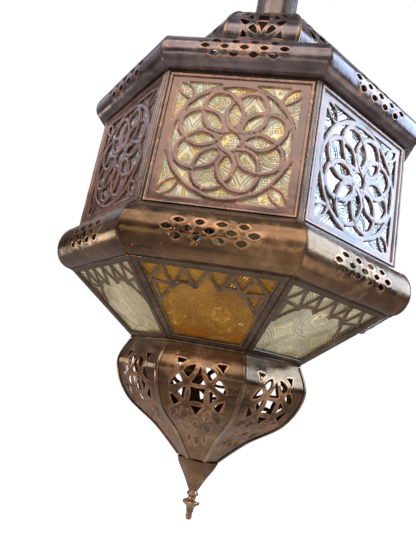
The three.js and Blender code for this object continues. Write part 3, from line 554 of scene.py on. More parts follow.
def offset_points(loop, distance):
    """Points at a distance outside a closed outline."""
    along = np.roll(loop, -1, axis=0) - np.roll(loop, 1, axis=0)
    along /= np.maximum(np.linalg.norm(along, axis=1), 1e-9)[:, None]
    turned = 1 if signed_area(loop) > 0 else -1
    return loop + turned * distance * np.stack([along[:, 1], -along[:, 0]], axis=1)


# Openings traced round the positive parts of a field: sides crossed in a grid cell, by its corners inside
TRACE = {1: [(0, 3)], 2: [(1, 0)], 3: [(1, 3)], 4: [(2, 1)], 5: [(0, 3), (2, 1)], 6: [(2, 0)], 7: [(2, 3)],
         8: [(3, 2)], 9: [(0, 2)], 10: [(3, 2), (1, 0)], 11: [(1, 2)], 12: [(3, 1)], 13: [(0, 1)],
         14: [(3, 0)]}
TRACE_STEP = 0.4
SMALLEST_OPENING = 7.0


def trace(field, low):
    """Outlines round the negative parts of a field sampled on a grid."""
    inside = field < 0
    code = inside[:-1, :-1] * 1 + inside[:-1, 1:] * 2 + inside[1:, 1:] * 4 + inside[1:, :-1] * 8
    following, spots = {}, {}

    def crossing(i, j, side):
        key = ((0, i, j), (1, i, j + 1), (0, i + 1, j), (1, i, j))[side]
        if key not in spots:
            upright, row, column = key
            after = (row + upright, column + 1 - upright)
            share = field[row, column] / (field[row, column] - field[after])
            spots[key] = (low[0] + TRACE_STEP * (column + share * (after[1] - column)),
                          low[1] + TRACE_STEP * (row + share * (after[0] - row)))
        return key

    for i, j in zip(*np.nonzero((code > 0) & (code < 15))):
        for start, end in TRACE[int(code[i, j])]:
            following[crossing(i, j, start)] = crossing(i, j, end)
    loops = []
    while following:
        first, current = next(iter(following.items()))
        loop = [spots[first]]
        del following[first]
        while current != first and current in following:
            loop.append(spots[current])
            current = following.pop(current)
        if current == first:
            loops.append(np.array(loop))
    return loops


def openings_of(field, columns, rows, spacing):
    """Evenly spaced outlines of a field's positive parts."""
    loops = trace(-field(*np.meshgrid(columns, rows)), (columns[0], rows[0]))
    return [evenly(loop, spacing) for loop in loops if abs(signed_area(loop)) > SMALLEST_OPENING]


def soft_min(values, radius):
    values = np.stack(values)
    least = values.min(axis=0)
    return least - radius * np.log(np.exp(-(values - least) / radius).sum(axis=0))


# Pierced sheets
def flat_sheet(outline, holes, grid, rim):
    """Points, triangles, and each point's distance to an edge and to a hole."""
    low, high = outline.min(axis=0), outline.max(axis=0)
    columns = np.arange(low[0] + grid[0] / 2, high[0], grid[0])
    rows = np.arange(low[1] + grid[1] / 2, high[1], grid[1])
    inner = np.stack(np.meshgrid(columns, rows), axis=-1).reshape(-1, 2)
    inner = inner[within(inner, outline, holes)]
    rim_gap, hole_gap = distance_to_loops(inner, [outline]), distance_to_loops(inner, holes)
    clear = (np.minimum(rim_gap, hole_gap) > 0.45 * min(grid)) & (hole_gap > 1.7 * rim)
    inner, rim_gap, hole_gap = inner[clear], rim_gap[clear], hole_gap[clear]
    if rim > 0:
        ring = np.concatenate([offset_points(hole, rim) for hole in holes])
        ring_rim, ring_hole = distance_to_loops(ring, [outline]), distance_to_loops(ring, holes)
        clear = (ring_hole > 0.8 * rim) & (ring_rim > rim) & within(ring, outline, holes)
        inner = np.concatenate([inner, ring[clear]])
        rim_gap, hole_gap = np.append(rim_gap, ring_rim[clear]), np.append(hole_gap, ring_hole[clear])
    points, edges = [], []
    for loop in [outline] + holes:
        start = len(points)
        points.extend(loop.tolist())
        edges.extend([(start + i, start + (i + 1) % len(loop)) for i in range(len(loop))])
    rim_count = len(points)
    points.extend(inner.tolist())
    corners = [Vector(point) for point in points]
    places, _, triangles, origins, *_ = delaunay_2d_cdt(corners, edges, [], 0, 1e-5)
    places = np.array([tuple(place) for place in places])
    triangles = np.array([tuple(triangle) for triangle in triangles if len(triangle) == 3])
    triangles = triangles[within(places[triangles].mean(axis=1), outline, holes)]
    edge_gap, opening_gap = np.zeros(len(places)), np.zeros(len(places))
    for index, sources in enumerate(origins):
        source = sources[0] if sources else 0
        if source >= rim_count:
            opening_gap[index] = hole_gap[source - rim_count]
            edge_gap[index] = min(rim_gap[source - rim_count], opening_gap[index])
        elif source < len(outline):
            opening_gap[index] = 99.0
    return places, triangles, edge_gap, opening_gap


def thick_sheet(outline, holes, grid, place, front, back, drop=0.35, soft=1.0, reach=5.0, relief=None,
                lip=0.0, marks=None):
    """A pierced sheet; place(u, v, height) gives its points in space.

    Its edges fall by drop over the distance soft, lip lifts the openings' rims, relief(u, v) lifts the rest,
    and the wear is what lies within reach of an opening, or marks(u, v).
    """
    flat, triangles, edge_gap, opening_gap = flat_sheet(outline, holes, grid, 1.1 if lip > 0 else 0.0)
    u, v = flat[:, 0], flat[:, 1]
    lift = -drop * (1 - smoothstep(0, soft, edge_gap))
    if relief is not None:
        lift = lift + relief(u, v)
    lift = lift + lip * (1 - smoothstep(0.7, 2.6, opening_gap))
    count = len(u)
    a, b, c = flat[triangles[:, 0]], flat[triangles[:, 1]], flat[triangles[:, 2]]
    turned = (b[:, 0] - a[:, 0]) * (c[:, 1] - a[:, 1]) - (b[:, 1] - a[:, 1]) * (c[:, 0] - a[:, 0])
    triangles[turned < 0] = triangles[turned < 0][:, ::-1]
    faces = [tuple(triangle) for triangle in triangles.tolist()]
    edges = dict.fromkeys((face[k], face[(k + 1) % 3]) for face in faces for k in range(3))
    faces += [tuple(i + count for i in face[::-1]) for face in faces]
    faces += [(two, one, one + count, two + count) for one, two in edges if (two, one) not in edges]
    wear = 1 - smoothstep(0, reach, opening_gap)
    if marks is not None:
        wear = np.maximum(wear, marks(u, v))
    points = np.concatenate([place(u, v, front + lift), place(u, v, np.full(count, float(back)))])
    return points, faces, np.concatenate([np.stack([u, v, share], axis=1) for share in (wear, 0 * wear)])


# Places on the lantern's facets: u across, v up or along, height out of the facet
def on_cage(u, v, height):
    return np.stack([u, -(CAGE_RADIUS * IN_RATIO + height), CAGE_MIDDLE + v], axis=1)


CROWN_RUN = (CROWN_TOP_RADIUS - SHOULDER_RADIUS) * IN_RATIO
CROWN_SLANT = math.hypot(CROWN_RUN, CROWN_HEIGHT)
CROWN_SIN, CROWN_COS = CROWN_RUN / CROWN_SLANT, CROWN_HEIGHT / CROWN_SLANT
CROWN_LEAN = math.hypot(1, (CROWN_TOP_RADIUS - SHOULDER_RADIUS) * SIDE_RATIO / CROWN_SLANT)
CROWN_WALL = 3.0
CROWN_GLASS_BACK = 6.3


def on_crown(u, v, height):
    """v is measured down the slope as a negative number."""
    y = -(CROWN_TOP_RADIUS * IN_RATIO) - v * CROWN_SIN - height * CROWN_COS
    z = CROWN_TOP + v * CROWN_COS - height * CROWN_SIN
    return np.stack([u, y, z], axis=1)


def crown_half(v):
    """Half width of the crown facet at a depth v (negative) down its slope."""
    top_half, bottom_half = CROWN_TOP_RADIUS * SIDE_RATIO, SHOULDER_RADIUS * SIDE_RATIO
    return top_half - (top_half - bottom_half) * (-v / CROWN_SLANT)


class Profile:
    """A facet that follows a profile of corner radii and heights; v is the length along it."""

    def __init__(self, radii, heights):
        self.radii = np.asarray(radii, float)
        self.heights = np.asarray(heights, float)
        self.lengths = lengths_along(np.stack([self.radii * IN_RATIO, self.heights], axis=1))
        self.length = self.lengths[-1]
        out = np.gradient(self.heights, self.lengths)
        rise = -np.gradient(self.radii * IN_RATIO, self.lengths)
        sign = 1 if np.mean(out) > 0 else -1
        self.out, self.rise = sign * out, sign * rise

    def at(self, v, values):
        return np.interp(v, self.lengths, values)

    def outline(self, spacing):
        v = np.linspace(0, self.length, max(2, int(round(self.length / spacing))) + 1)
        edges = []
        for hand, end in ((1, self.length), (-1, 0.0)):
            side = np.stack([hand * self.at(v, self.radii) * SIDE_RATIO, v], axis=1)
            half = self.at(end, self.radii) * SIDE_RATIO
            across = max(2, int(round(half / spacing)))
            u = np.linspace(hand * half, -hand * half, across + 1)[1:-1]
            edges += [side[::hand], np.stack([u, np.full(across - 1, end)], axis=1)]
        return np.concatenate(edges)

    def place(self, u, v, height):
        reach = self.at(v, self.radii) * IN_RATIO
        moved = reach + height * self.at(v, self.out)
        level = self.at(v, self.heights) + height * self.at(v, self.rise)
        return np.stack([u * moved / reach, -moved, level], axis=1)

    def from_start(self, depth):
        """The length along the profile at a height difference from its start."""
        return np.interp(depth, np.abs(self.heights - self.heights[0]), self.lengths)

    def corner_path(self, lift, spacing):
        """Points down the corner edge between facet 0 and facet 1."""
        v = np.linspace(0, self.length, max(3, int(self.length / spacing)) + 1)
        radius = self.at(v, self.radii) + lift
        angle = -math.pi / 2 + HALF_STEP
        level = self.at(v, self.heights)
        return np.stack([radius * math.cos(angle), radius * math.sin(angle), level], axis=1)


# Seams, rolls and turned parts
def ring_section(radius_side, radius_out, steps=10):
    angles = [2 * math.pi * k / steps for k in range(steps)]
    return [(radius_side * math.cos(angle), radius_out * math.sin(angle)) for angle in angles]


def swept(path, section):
    """A tube along a path of points; the section is a list of (side, out) with out away from the axis."""
    tangents = np.gradient(path, axis=0)
    tangents /= np.linalg.norm(tangents, axis=1)[:, None]
    outward = path * [1, 1, 0]
    outward /= np.maximum(np.linalg.norm(outward, axis=1)[:, None], 1e-6)
    sideways = np.cross(tangents, outward)
    sideways /= np.maximum(np.linalg.norm(sideways, axis=1)[:, None], 1e-6)
    outward = np.cross(sideways, tangents)
    points = np.stack([path + sideways * s + outward * o for s, o in section], axis=1).reshape(-1, 3)
    count, size = len(path), len(section)
    flow = np.stack([np.repeat(lengths_along(path), size), np.tile(np.arange(size) * 0.8, count),
                     np.zeros(count * size)], axis=1)
    return points, tube_faces(count, size), flow


def lathe(section, steps=64):
    """A turned part from (radius, height) points that start and end on the axis or close on themselves."""
    section = np.asarray(section, float)
    count = len(section)
    angles = np.arange(steps) * 2 * math.pi / steps
    points = np.stack([section[:, 0][None] * np.cos(angles)[:, None],
                       section[:, 0][None] * np.sin(angles)[:, None],
                       np.repeat(section[:, 1][None], steps, axis=0)], axis=-1).reshape(-1, 3)
    flow = np.stack([np.tile(lengths_along(section), steps), np.repeat(angles * section[:, 0].max(), count),
                     np.zeros(steps * count)], axis=1)
    return points, ring_faces(steps, count, section_closed=False), flow


# Rosette of eight interlaced ovals inside a ring, with a leaf in each corner
ROSETTE_HALF = PANEL_HALF_HEIGHT - BEAD_WIDTH - BORDER
STRAP = 5.1
RING_RADIUS = ROSETTE_HALF - 0.8
OVAL_CENTRE = 28.0
OVAL_HALF_WIDTH = 18.3
OVAL_INNER_LENGTH = 17.4
OVAL_OUTER_LENGTH = RING_RADIUS - STRAP - OVAL_CENTRE
OUTER_CROSSINGS = 36.0
LEAF_START, LEAF_END = ROSETTE_HALF + 0.5, ROSETTE_HALF * math.sqrt(2) - 0.5
LEAF_HALF_WIDTH = 5.4
LEAF_LINE = 1.5


def hand_cut(x, y):
    """Small wandering of the drawn lines, none at the border."""
    share = smoothstep(0, 7, ROSETTE_HALF - np.maximum(np.abs(x), np.abs(y)))
    across = 0.34 * np.sin(0.19 * y + 0.8) + 0.22 * np.sin(0.47 * y + 0.21 * x + 2.0)
    along = 0.34 * np.sin(0.17 * x + 2.1) + 0.22 * np.sin(0.43 * x - 0.25 * y + 0.5)
    return x + share * across, y + share * along


def strap_gaps(x, y):
    """Distances to the middle lines of the eight ovals and of the ring."""
    gaps = []
    for i in range(8):
        angle = -(HALF_STEP + 2 * HALF_STEP * i)
        px = x * math.cos(angle) - y * math.sin(angle) - OVAL_CENTRE
        py = x * math.sin(angle) + y * math.cos(angle)
        length = np.where(px < 0, OVAL_INNER_LENGTH, OVAL_OUTER_LENGTH)
        level = (px / length) ** 2 + (py / OVAL_HALF_WIDTH) ** 2 - 1
        slope = 2 * np.sqrt((px / length ** 2) ** 2 + (py / OVAL_HALF_WIDTH ** 2) ** 2)
        gaps.append(np.abs(level / np.maximum(slope, 0.02)))
    return gaps + [np.abs(np.hypot(x, y) - RING_RADIUS)]


def rosette_field(x, y):
    """Positive in an opening's middle, negative in the straps, in millimetres."""
    x, y = hand_cut(x, y)
    straps = [gap - STRAP / 2 for gap in strap_gaps(x, y)]
    straps.append(ROSETTE_HALF - np.maximum(np.abs(x), np.abs(y)))
    along = (np.abs(x) + np.abs(y)) / math.sqrt(2) - (LEAF_START + LEAF_END) / 2
    across = np.abs(np.abs(x) - np.abs(y)) / math.sqrt(2)
    bend = ((LEAF_END - LEAF_START) ** 2 / 4 + LEAF_HALF_WIDTH ** 2) / (2 * LEAF_HALF_WIDTH)
    leaf = np.hypot(along, across + bend - LEAF_HALF_WIDTH) - bend
    return soft_min(straps + [np.abs(leaf) - LEAF_LINE], 0.28)


def rosette_relief(x, y):
    """Grooves beside the strap that passes over at each crossing of two ovals."""
    x, y = hand_cut(x, y)
    gaps = strap_gaps(x, y)
    outside = np.hypot(x, y) > OUTER_CROSSINGS
    turns = np.sin(8 * np.arctan2(y, x)) > 0
    groove = np.zeros_like(x)
    for i in range(9):
        for j in range(9):
            if i == j:
                continue
            over_first = ((j - i) % 8 in (1, 2, 3)) != outside if max(i, j) < 8 else (i < j) == turns
            edge = np.exp(-((gaps[i] - STRAP / 2 + 0.3) / 0.45) ** 2)
            under = smoothstep(STRAP / 2, STRAP / 2 - 0.8, gaps[j])
            groove = np.maximum(groove, edge * under * over_first)
    closest = np.sort(np.stack(gaps), axis=0)
    bulge = 0.25 * smoothstep(STRAP / 2, 0.2, closest[0])
    solder = 0.35 * smoothstep(STRAP / 2 + 0.4, 0.6, closest[1]) * (0.5 + 0.5 * np.sin(0.9 * x + 1.3 * y))
    return bulge + solder - 0.5 * groove


def bead_frame(half_width, half_height, width, base, rise):
    """Rounded frame mitred at its corners, drawn on the cage facet. Its flow carries the height as wear, so
    the bead's crest turns bare copper: rubbed wear and a painted highlight line.
    """
    section = [(0.0, base), (0.25, base + 0.7 * rise), (0.9, base + rise), (0.5 * width, base + 0.86 * rise),
               (width - 0.9, base + rise), (width - 0.2, base + 0.6 * rise), (width, base)]
    points = np.array([((half_width - inset) * cx, (half_height - inset) * cy, height)
                       for cx, cy in ((-1, -1), (1, -1), (1, 1), (-1, 1)) for inset, height in section])
    return on_cage(*points.T), ring_faces(4, len(section)), points


def rosette_panel(half_width, half_height):
    scale = (half_height - BEAD_WIDTH - BORDER) / ROSETTE_HALF
    reach = ROSETTE_HALF + 2
    axis = np.arange(-reach, reach + TRACE_STEP, TRACE_STEP)
    holes = [hole * scale for hole in openings_of(rosette_field, axis, axis, 1.1)]
    sheet = thick_sheet(rectangle_loop(half_width - 1.0, half_height - 1.0), holes, (1.15, 1.15), on_cage,
                        SHEET_FRONT, SHEET_BACK, reach=2.0,
                        relief=lambda u, v: rosette_relief(u / scale, v / scale))
    return sheet, bead_frame(half_width, half_height, BEAD_WIDTH, SHEET_BACK, 2.5)


def add_panels():
    fixed = rosette_panel(PANEL_HALF_WIDTH, PANEL_HALF_HEIGHT)
    door = rosette_panel(DOOR_HALF_WIDTH, DOOR_HALF_HEIGHT)
    for facet in range(SIDES):
        is_door = facet == DOOR_FACET
        panel = joined([around(part, [facet]) for part in (door if is_door else fixed)])
        add_piece(f"rosette_{facet}", panel, RED, "red_copper",
                  "door_panel" if is_door else f"cage_panel_{facet}", body="door" if is_door else "body")


# Panes of pressed glass
def glass_relief(x, y):
    """The pattern's main forms, from 0 to 1."""
    half = MEDALLION_PITCH / 2
    px, py = (x + half) % MEDALLION_PITCH - half, (y + half) % MEDALLION_PITCH - half
    radius, angle = np.hypot(px, py), np.arctan2(py, px)
    wide, slim = np.maximum(np.abs(px), np.abs(py)), np.minimum(np.abs(px), np.abs(py))
    past = np.hypot(wide - LOBE_CENTRE, slim) - LOBE_RADIUS
    rings = np.exp(-(past / 0.8) ** 2) + np.exp(-((past - SECOND_LINE) / 0.8) ** 2)
    petals = np.exp(-(radius - PETAL_LENGTH * np.abs(np.cos(2.5 * angle))) ** 2) * (radius < PETALS_REACH)
    return np.clip(rings + petals + 0.5 * smoothstep(-2.0, -6.0, past), 0, 1)


def pane(place, half_at, low, high, front, back, step, shift, rise=0.7):
    """A pane with its relief on the front face; half_at(v) is its half width."""
    rows = max(2, int(round((high - low) / step)))
    columns = max(2, int(round(2 * half_at(0.5 * (low + high)) / step)))
    v = np.linspace(low, high, rows + 1)
    t = np.linspace(-1, 1, columns + 1)
    u = (t[None, :] * np.array([half_at(value) for value in v])[:, None]).ravel()
    v = np.repeat(v, columns + 1)
    relief = glass_relief(u - shift[0], v - shift[1])
    relief[(np.abs(np.tile(t, rows + 1)) > 0.999) | (v <= low + 1e-6) | (v >= high - 1e-6)] = 0
    corner_v = np.array([low, low, high, high])
    corner_u = np.array([-half_at(low), half_at(low), half_at(high), -half_at(high)])
    points = np.concatenate([place(u, v, front - rise + rise * relief),
                             place(corner_u, corner_v, np.full(4, float(back)))])
    grid = np.arange(len(u)).reshape(rows + 1, columns + 1)
    faces = [(grid[i, j], grid[i, j + 1], grid[i + 1, j + 1], grid[i + 1, j])
             for i in range(rows) for j in range(columns)]
    a, b, c, d = range(len(u), len(u) + 4)
    faces += [(d, c, b, a), (a, b, *grid[0, ::-1]), (c, d, *grid[-1]), (d, a, *grid[:, 0]),
              (b, c, *grid[::-1, -1])]
    flow = [np.stack([u - shift[0], v - shift[1], relief], axis=1),
            np.stack([corner_u - shift[0], corner_v - shift[1], 0 * corner_v], axis=1)]
    return points, faces, np.concatenate(flow)


def add_pane(name, node, part, facet, material, slot, body="body"):
    points, faces, flow = part
    add_piece(name, (points @ turn_matrix(facet).T, faces, flow), material, slot, node, body=body)


def add_cage_glass():
    for facet in range(SIDES):
        is_door = facet == DOOR_FACET
        half_width = DOOR_HALF_WIDTH if is_door else PANEL_HALF_WIDTH
        half_height = DOOR_HALF_HEIGHT if is_door else PANEL_HALF_HEIGHT
        part = pane(on_cage, lambda v: half_width, -half_height, half_height, GLASS_FRONT, GLASS_BACK, 1.3,
                    (7.0 * facet - 11.0, 5.0 * facet + 3.0))
        # Odd facets take the darkened copy of the amber glass, painted shade
        pale = facet % 2 == 0
        add_pane(f"pane_{facet}", "door_glass" if is_door else f"cage_glass_{facet}", part, facet,
                 CREAM if pale else SHADED_AMBER, "clear_glass" if pale else "amber_glass",
                 "door" if is_door else "body")


def add_crown_glass():
    top_margin = (CROWN_GLASS_BACK + 0.3) * CROWN_SIN / CROWN_COS
    for facet in range(SIDES):
        shift = (6.0 * facet, -40.0 + 5.0 * facet) if facet else (13.0, -58.0)
        part = pane(on_crown, lambda v: crown_half(v) - 3.5 * CROWN_LEAN, -(CROWN_SLANT - 3.5), -top_margin,
                    -CROWN_WALL - 0.3, -CROWN_GLASS_BACK, 1.1, shift)
        amber = facet % 2 == 0
        add_pane(f"crown_pane_{facet}", f"crown_glass_{facet}", part, facet,
                 AMBER if amber else CLEAR, "amber_glass" if amber else "clear_glass")


# Crown lattice: curved straps of the valance, read as middle lines on half a facet, and knots where they meet
VALANCE = [
    [(1.8, 6.0), (3.6, 15.0), (10.8, 26.8)], [(20.3, 6.0), (18.6, 14.5), (12.2, 25.8)],
    [(22.8, 6.0), (24.8, 15.0), (31.0, 27.5)], [(41.5, 6.0), (39.6, 14.5), (32.8, 26.8)],
    [(43.8, 6.0), (46.2, 14.0), (54.5, 24.5)], [(11.4, 27.6), (21.5, 24.6), (31.4, 29.3)],
    [(32.0, 29.6), (43.0, 27.6), (56.0, 26.4)], [(32.0, 30.0), (38.0, 37.5), (44.8, 51.0)],
    [(50.8, 28.0), (47.6, 38.0), (44.8, 50.0)],
]
VALANCE_KNOTS = [(11.4, 27.4, 3.0), (31.9, 29.8, 3.3), (44.9, 50.5, 2.6)]
VALANCE_HALF_STRAP = 1.65
CROWN_SIDE_BAR, CROWN_TOP_BAR, CROWN_FOOT_BAR = 8.4, 7.6, 6.4


def curve_points(controls, steps=14):
    """A bend through three points."""
    p0, p1, p2 = (np.array(point, float) for point in controls)
    middle = 2 * p1 - 0.5 * (p0 + p2)
    t = np.linspace(0, 1, steps + 1)[:, None]
    return (1 - t) ** 2 * p0 + 2 * t * (1 - t) * middle + t ** 2 * p2


def valance_field(x, depth):
    """Negative in the crown's bars and straps; depth is measured down the slope."""
    points = np.stack([np.abs(x).ravel(), depth.ravel()], axis=1)
    parts = [distance_to_path(points, curve_points(path)) - VALANCE_HALF_STRAP for path in VALANCE]
    parts += [np.hypot(points[:, 0] - x0, points[:, 1] - y0) - radius for x0, y0, radius in VALANCE_KNOTS]
    parts += [(crown_half(-points[:, 1]) - points[:, 0]) / CROWN_LEAN - CROWN_SIDE_BAR,
              points[:, 1] - CROWN_TOP_BAR, CROWN_SLANT - points[:, 1] - CROWN_FOOT_BAR]
    return soft_min(parts, 0.3).reshape(x.shape)


def crown_sheet():
    columns = np.arange(-74, 74 + TRACE_STEP, TRACE_STEP)
    loops = openings_of(valance_field, columns, np.arange(0, CROWN_SLANT, TRACE_STEP), 1.2)
    top_half, foot_half = crown_half(-5.0) - 5.0, crown_half(-CROWN_SLANT + 5) - 5.0
    outline = bowed([(-top_half, -5.0), (top_half, -5.0), (foot_half, -CROWN_SLANT + 5),
                     (-foot_half, -CROWN_SLANT + 5)], [0.0], 4.0)
    return thick_sheet(outline, [loop * [1.0, -1.0] for loop in loops], (1.9, 1.9), on_crown, -1.8, -2.9)


def crown_bars():
    """Rounded bars round a crown facet, mitred at its corners, with a groove towards the next facet."""
    section = [(0.5, -3.0), (0.5, -1.1), (1.1, -0.35), (2.0, -0.05), (3.3, -0.35), (4.4, -0.6), (5.4, -0.3),
               (6.2, -0.2), (6.7, -0.9), (6.8, -3.0)]
    points = []
    for hand, top in ((-1, True), (1, True), (1, False), (-1, False)):
        for inset, height in section:
            v = -inset if top else inset - CROWN_SLANT
            points.append((hand * (crown_half(v) - inset * CROWN_LEAN), v, height))
    points = np.array(points)
    return on_crown(*points.T), ring_faces(4, len(section)), points


def add_crown():
    lattice = around(joined([crown_sheet(), crown_bars()]))
    add_piece("crown_lattice", lattice, FRAME, "dark_frame", "lower_crown", merge=True)


# Solder rolls at the crown's and the dome's foot, and rounded beads along the posts
def eight_ring(radius, level, section):
    """A closed roll of eight straight lengths, mitred at the corners."""
    angles = [-math.pi / 2 + HALF_STEP + 2 * HALF_STEP * i for i in range(SIDES)]
    corner = [(radius + out / IN_RATIO, level + rise) for out, rise in section]
    points = np.array([(reach * math.cos(angle), reach * math.sin(angle), height)
                       for angle in angles for reach, height in corner])
    wear = np.full(len(points), 0.5)
    flow = np.stack([np.arctan2(points[:, 1], points[:, 0]) * radius, points[:, 2], wear], axis=1)
    return points, ring_faces(SIDES, len(section)), flow


def post_bead(facet, hand):
    section = ring_section(1.1, 1.1)
    levels = np.linspace(-CAGE_HEIGHT / 2 + 0.6, CAGE_HEIGHT / 2 - 0.6, 24)
    centre = hand * (CAGE_RADIUS * SIDE_RATIO - 1.75)
    u, v, height = np.array([(centre + du, level, dh - 0.45) for level in levels for du, dh in section]).T
    wobble = 0.15 * np.sin(v * 0.21 + 2.0 * facet + hand)
    flow = np.stack([v, 9.0 * facet + 3.0 * hand + u * 0.1, np.full(len(u), 0.6)], axis=1)
    points = on_cage(u, v, height + wobble) @ turn_matrix(facet).T
    return points, tube_faces(len(levels), len(section)), flow


def add_trim():
    for name, radius, level, thick in (("foot_roll", SHOULDER_RADIUS - 0.6, BULB_TOP, 1.5),
                                       ("shoulder_roll", SHOULDER_RADIUS - 0.4, DOME_BOTTOM, 1.7)):
        add_piece(name, eight_ring(radius, level, ring_section(thick, thick)), FRAME, "dark_frame", sharp=50)
    beads = [post_bead(facet, hand) for hand in (-1, 1) for facet in range(SIDES) if facet != DOOR_FACET]
    # The post beads take the paler frame metal, a painted highlight
    add_piece("post_beads", joined(beads), SHEEN_FRAME, "dark_frame", sharp=60, merge=True)


# Half-round collars, each with three rows of diamonds on a facet; middle_row and row_angle are in degrees
COLLARS = {
    # The upper collar's metal carries a painted blue sheen
    "upper_collar": {"metal": BLUE_SHEEN_COPPER, "height": 34.8, "bulge": 15.5, "radius": 190.0, "top": UPPER_COLLAR_TOP,
                     "middle_row": 2.0, "row_angle": 23.0, "pitch": 18.4, "wide": 9.4, "tall": 5.8},
    "lower_collar": {"metal": AGED, "height": 48.2, "bulge": 18.5, "radius": 189.0, "top": LOWER_COLLAR_TOP,
                     "middle_row": 0.0, "row_angle": 17.5, "pitch": 18.6, "wide": 10.4, "tall": 5.8},
}
COLLAR_LIP_DEPTH, COLLAR_LIP_WIDTH = 9.0, 4.5


def collar_profile(height, bulge, radius, top):
    """The half-round with a short lip at each end, and the angles of its points."""
    angles = np.radians(np.linspace(-90, 90, 41))
    lip = radius - COLLAR_LIP_DEPTH
    levels = top - height / 2 + height / 2 * np.sin(angles)
    radii = np.concatenate([[lip, lip + COLLAR_LIP_WIDTH], radius + bulge * np.cos(angles),
                            [lip + COLLAR_LIP_WIDTH, lip]])
    heights = np.concatenate([[levels[0] + 0.02] * 2, levels, [levels[-1] - 0.02] * 2])
    return Profile(radii, heights), np.degrees(angles)


def add_collar(name, height, bulge, radius, top, middle_row, row_angle, pitch, wide, tall, metal):
    profile, angles = collar_profile(height, bulge, radius, top)
    holes = []
    for row, count in enumerate((4, 5, 4)):
        at = np.interp(middle_row + (row - 1) * row_angle, angles, profile.lengths[2:-2])
        for i in range(count):
            across = (i - (count - 1) / 2) * pitch
            w = wide / 2 * (1 + 0.06 * math.sin(3.1 * i + row))
            t = tall / 2 * (1 + 0.08 * math.cos(2.3 * i + 2 * row))
            diamond = [(across - w, at), (across, at - t), (across + w, at), (across, at + t)]
            holes.append(rounded(bowed(diamond, [0.45], 0.9)))
    tube = thick_sheet(profile.outline(2.2), holes, (2.6, 2.0), profile.place, -0.05, -1.0, drop=0.3,
                       reach=4.0, lip=0.4)
    seam = swept(profile.corner_path(-0.9, 1.6)[2:-2], ring_section(0.9, 0.75, 8))
    add_piece(name + "_tube", around(tube), metal, "aged_copper", name, merge=True)
    add_piece(name + "_seams", around(seam), metal, "bright_copper")


# Onion gores of the dome and the bottom bulb; the openings' points are (across, depth) from the start
GORE_OPENINGS = (
    both_hands(bowed([(14.6, 16.2), (25.4, 15.4), (22.8, 24.6)], [0.3, -0.7, -0.5]))
    + both_hands(bowed([(5.2, 19.4), (16.6, 26.4), (11.0, 32.8)], [1.3, 0.5, 1.5]))
    + [bowed([(0.0, 20.6), (7.2, 37.2), (-7.2, 37.2)], [-0.7, 0.5, -0.7])]
    + both_hands(bowed([(15.4, 36.6), (20.8, 30.8), (28.2, 42.6)], [1.2, 1.1, 1.3]))
    + [bowed([(7.9, 40.8), (7.9, 55.4), (-7.9, 55.4), (-7.9, 40.8)], [-1.5, -1.3, -1.5, -0.8])]
    + both_hands(bowed([(11.0, 41.2), (20.0, 47.6), (12.6, 54.8)], [0.5, -0.2, -0.9]))
    + both_hands(bowed([(17.2, 56.8), (27.2, 50.0), (22.8, 61.2)], [0.5, 0.3, 0.6]))
    + [bowed([(6.8, 58.4), (0.0, 68.2), (-6.8, 58.4)], [-0.5, -0.5, -0.6])]
)
GORE_EMBOSSED = (
    both_hands(bowed([(8.0, 63.8), (14.0, 60.6), (15.2, 69.4), (9.6, 72.4)], [0.4]))
    + [bowed([(0.0, 71.8), (5.0, 78.0), (0.0, 85.6), (-5.0, 78.0)], [-0.7])]
    + both_hands(bowed([(18.6, 66.4), (26.6, 62.6), (24.6, 72.2)], [0.9, 0.7, 0.9]))
    + both_hands(bowed([(7.4, 77.2), (16.4, 73.6), (12.6, 85.8)], [0.8]))
    + [bowed([(0.0, 89.0), (3.2, 94.4), (0.0, 103.0), (-3.2, 94.4)], [0.3])]
    + both_hands(bowed([(5.4, 90.0), (10.8, 87.2), (8.2, 100.0)], [0.6]))
)


def spline(points, steps):
    """Smooth curve through [radius, depth] points, the one that the part's source uses."""
    points = [np.array(point, float) for point in points]
    found = []
    for t in np.linspace(0, len(points) - 1, steps + 1):
        i = min(int(t), len(points) - 2)
        w = t - i
        p0, p1, p2, p3 = points[max(i - 1, 0)], points[i], points[i + 1], points[min(i + 2, len(points) - 1)]
        v0, v1 = 0.5 * (p2 - p0), 0.5 * (p3 - p1)
        cubic, square = 2 * p1 - 2 * p2 + v0 + v1, -3 * p1 + 3 * p2 - 2 * v0 - v1
        found.append(cubic * w ** 3 + square * w ** 2 + v0 * w + p1)
    return np.array(found)


def add_onion(name, node, end_radius, length, start, direction):
    curve = spline([(SHOULDER_RADIUS, 0), (114, 30), (96, 64), (57, 91), (end_radius, length)], 60)
    profile = Profile(curve[:, 0], start + direction * curve[:, 1])

    def along(loops):
        return [rounded(np.stack([loop[:, 0], profile.from_start(loop[:, 1])], axis=1)) for loop in loops]

    openings, embossed = along(GORE_OPENINGS), along(GORE_EMBOSSED)

    def relief(u, v):
        flat = np.stack([u, v], axis=1)
        gap = distance_to_loops(flat, embossed)
        inside = np.any([inside_loop(flat, loop) for loop in embossed], axis=0)
        return 0.95 * np.exp(-(gap / 1.1) ** 2) - 0.8 * np.where(inside, smoothstep(0.6, 2.0, gap), 0)

    def marks(u, v):
        return 0.9 * np.exp(-(distance_to_loops(np.stack([u, v], axis=1), embossed) / 1.3) ** 2)

    gore = thick_sheet(profile.outline(1.6), openings, (1.35, 1.35), profile.place, -0.7, -1.55, drop=0.3,
                       reach=4.0, relief=relief, lip=0.35, marks=marks)
    seam = swept(profile.corner_path(-0.9, 2.5)[1:-1], ring_section(2.5, 1.0))
    # The dome takes the copper with the painted blue sheen, the bulb the plain aged copper
    add_piece(name + "_gores", around(gore), BLUE_SHEEN_COPPER if direction > 0 else AGED, "aged_copper", node, merge=True)
    add_piece(name + "_seams", around(seam), SEAM, "bright_copper")


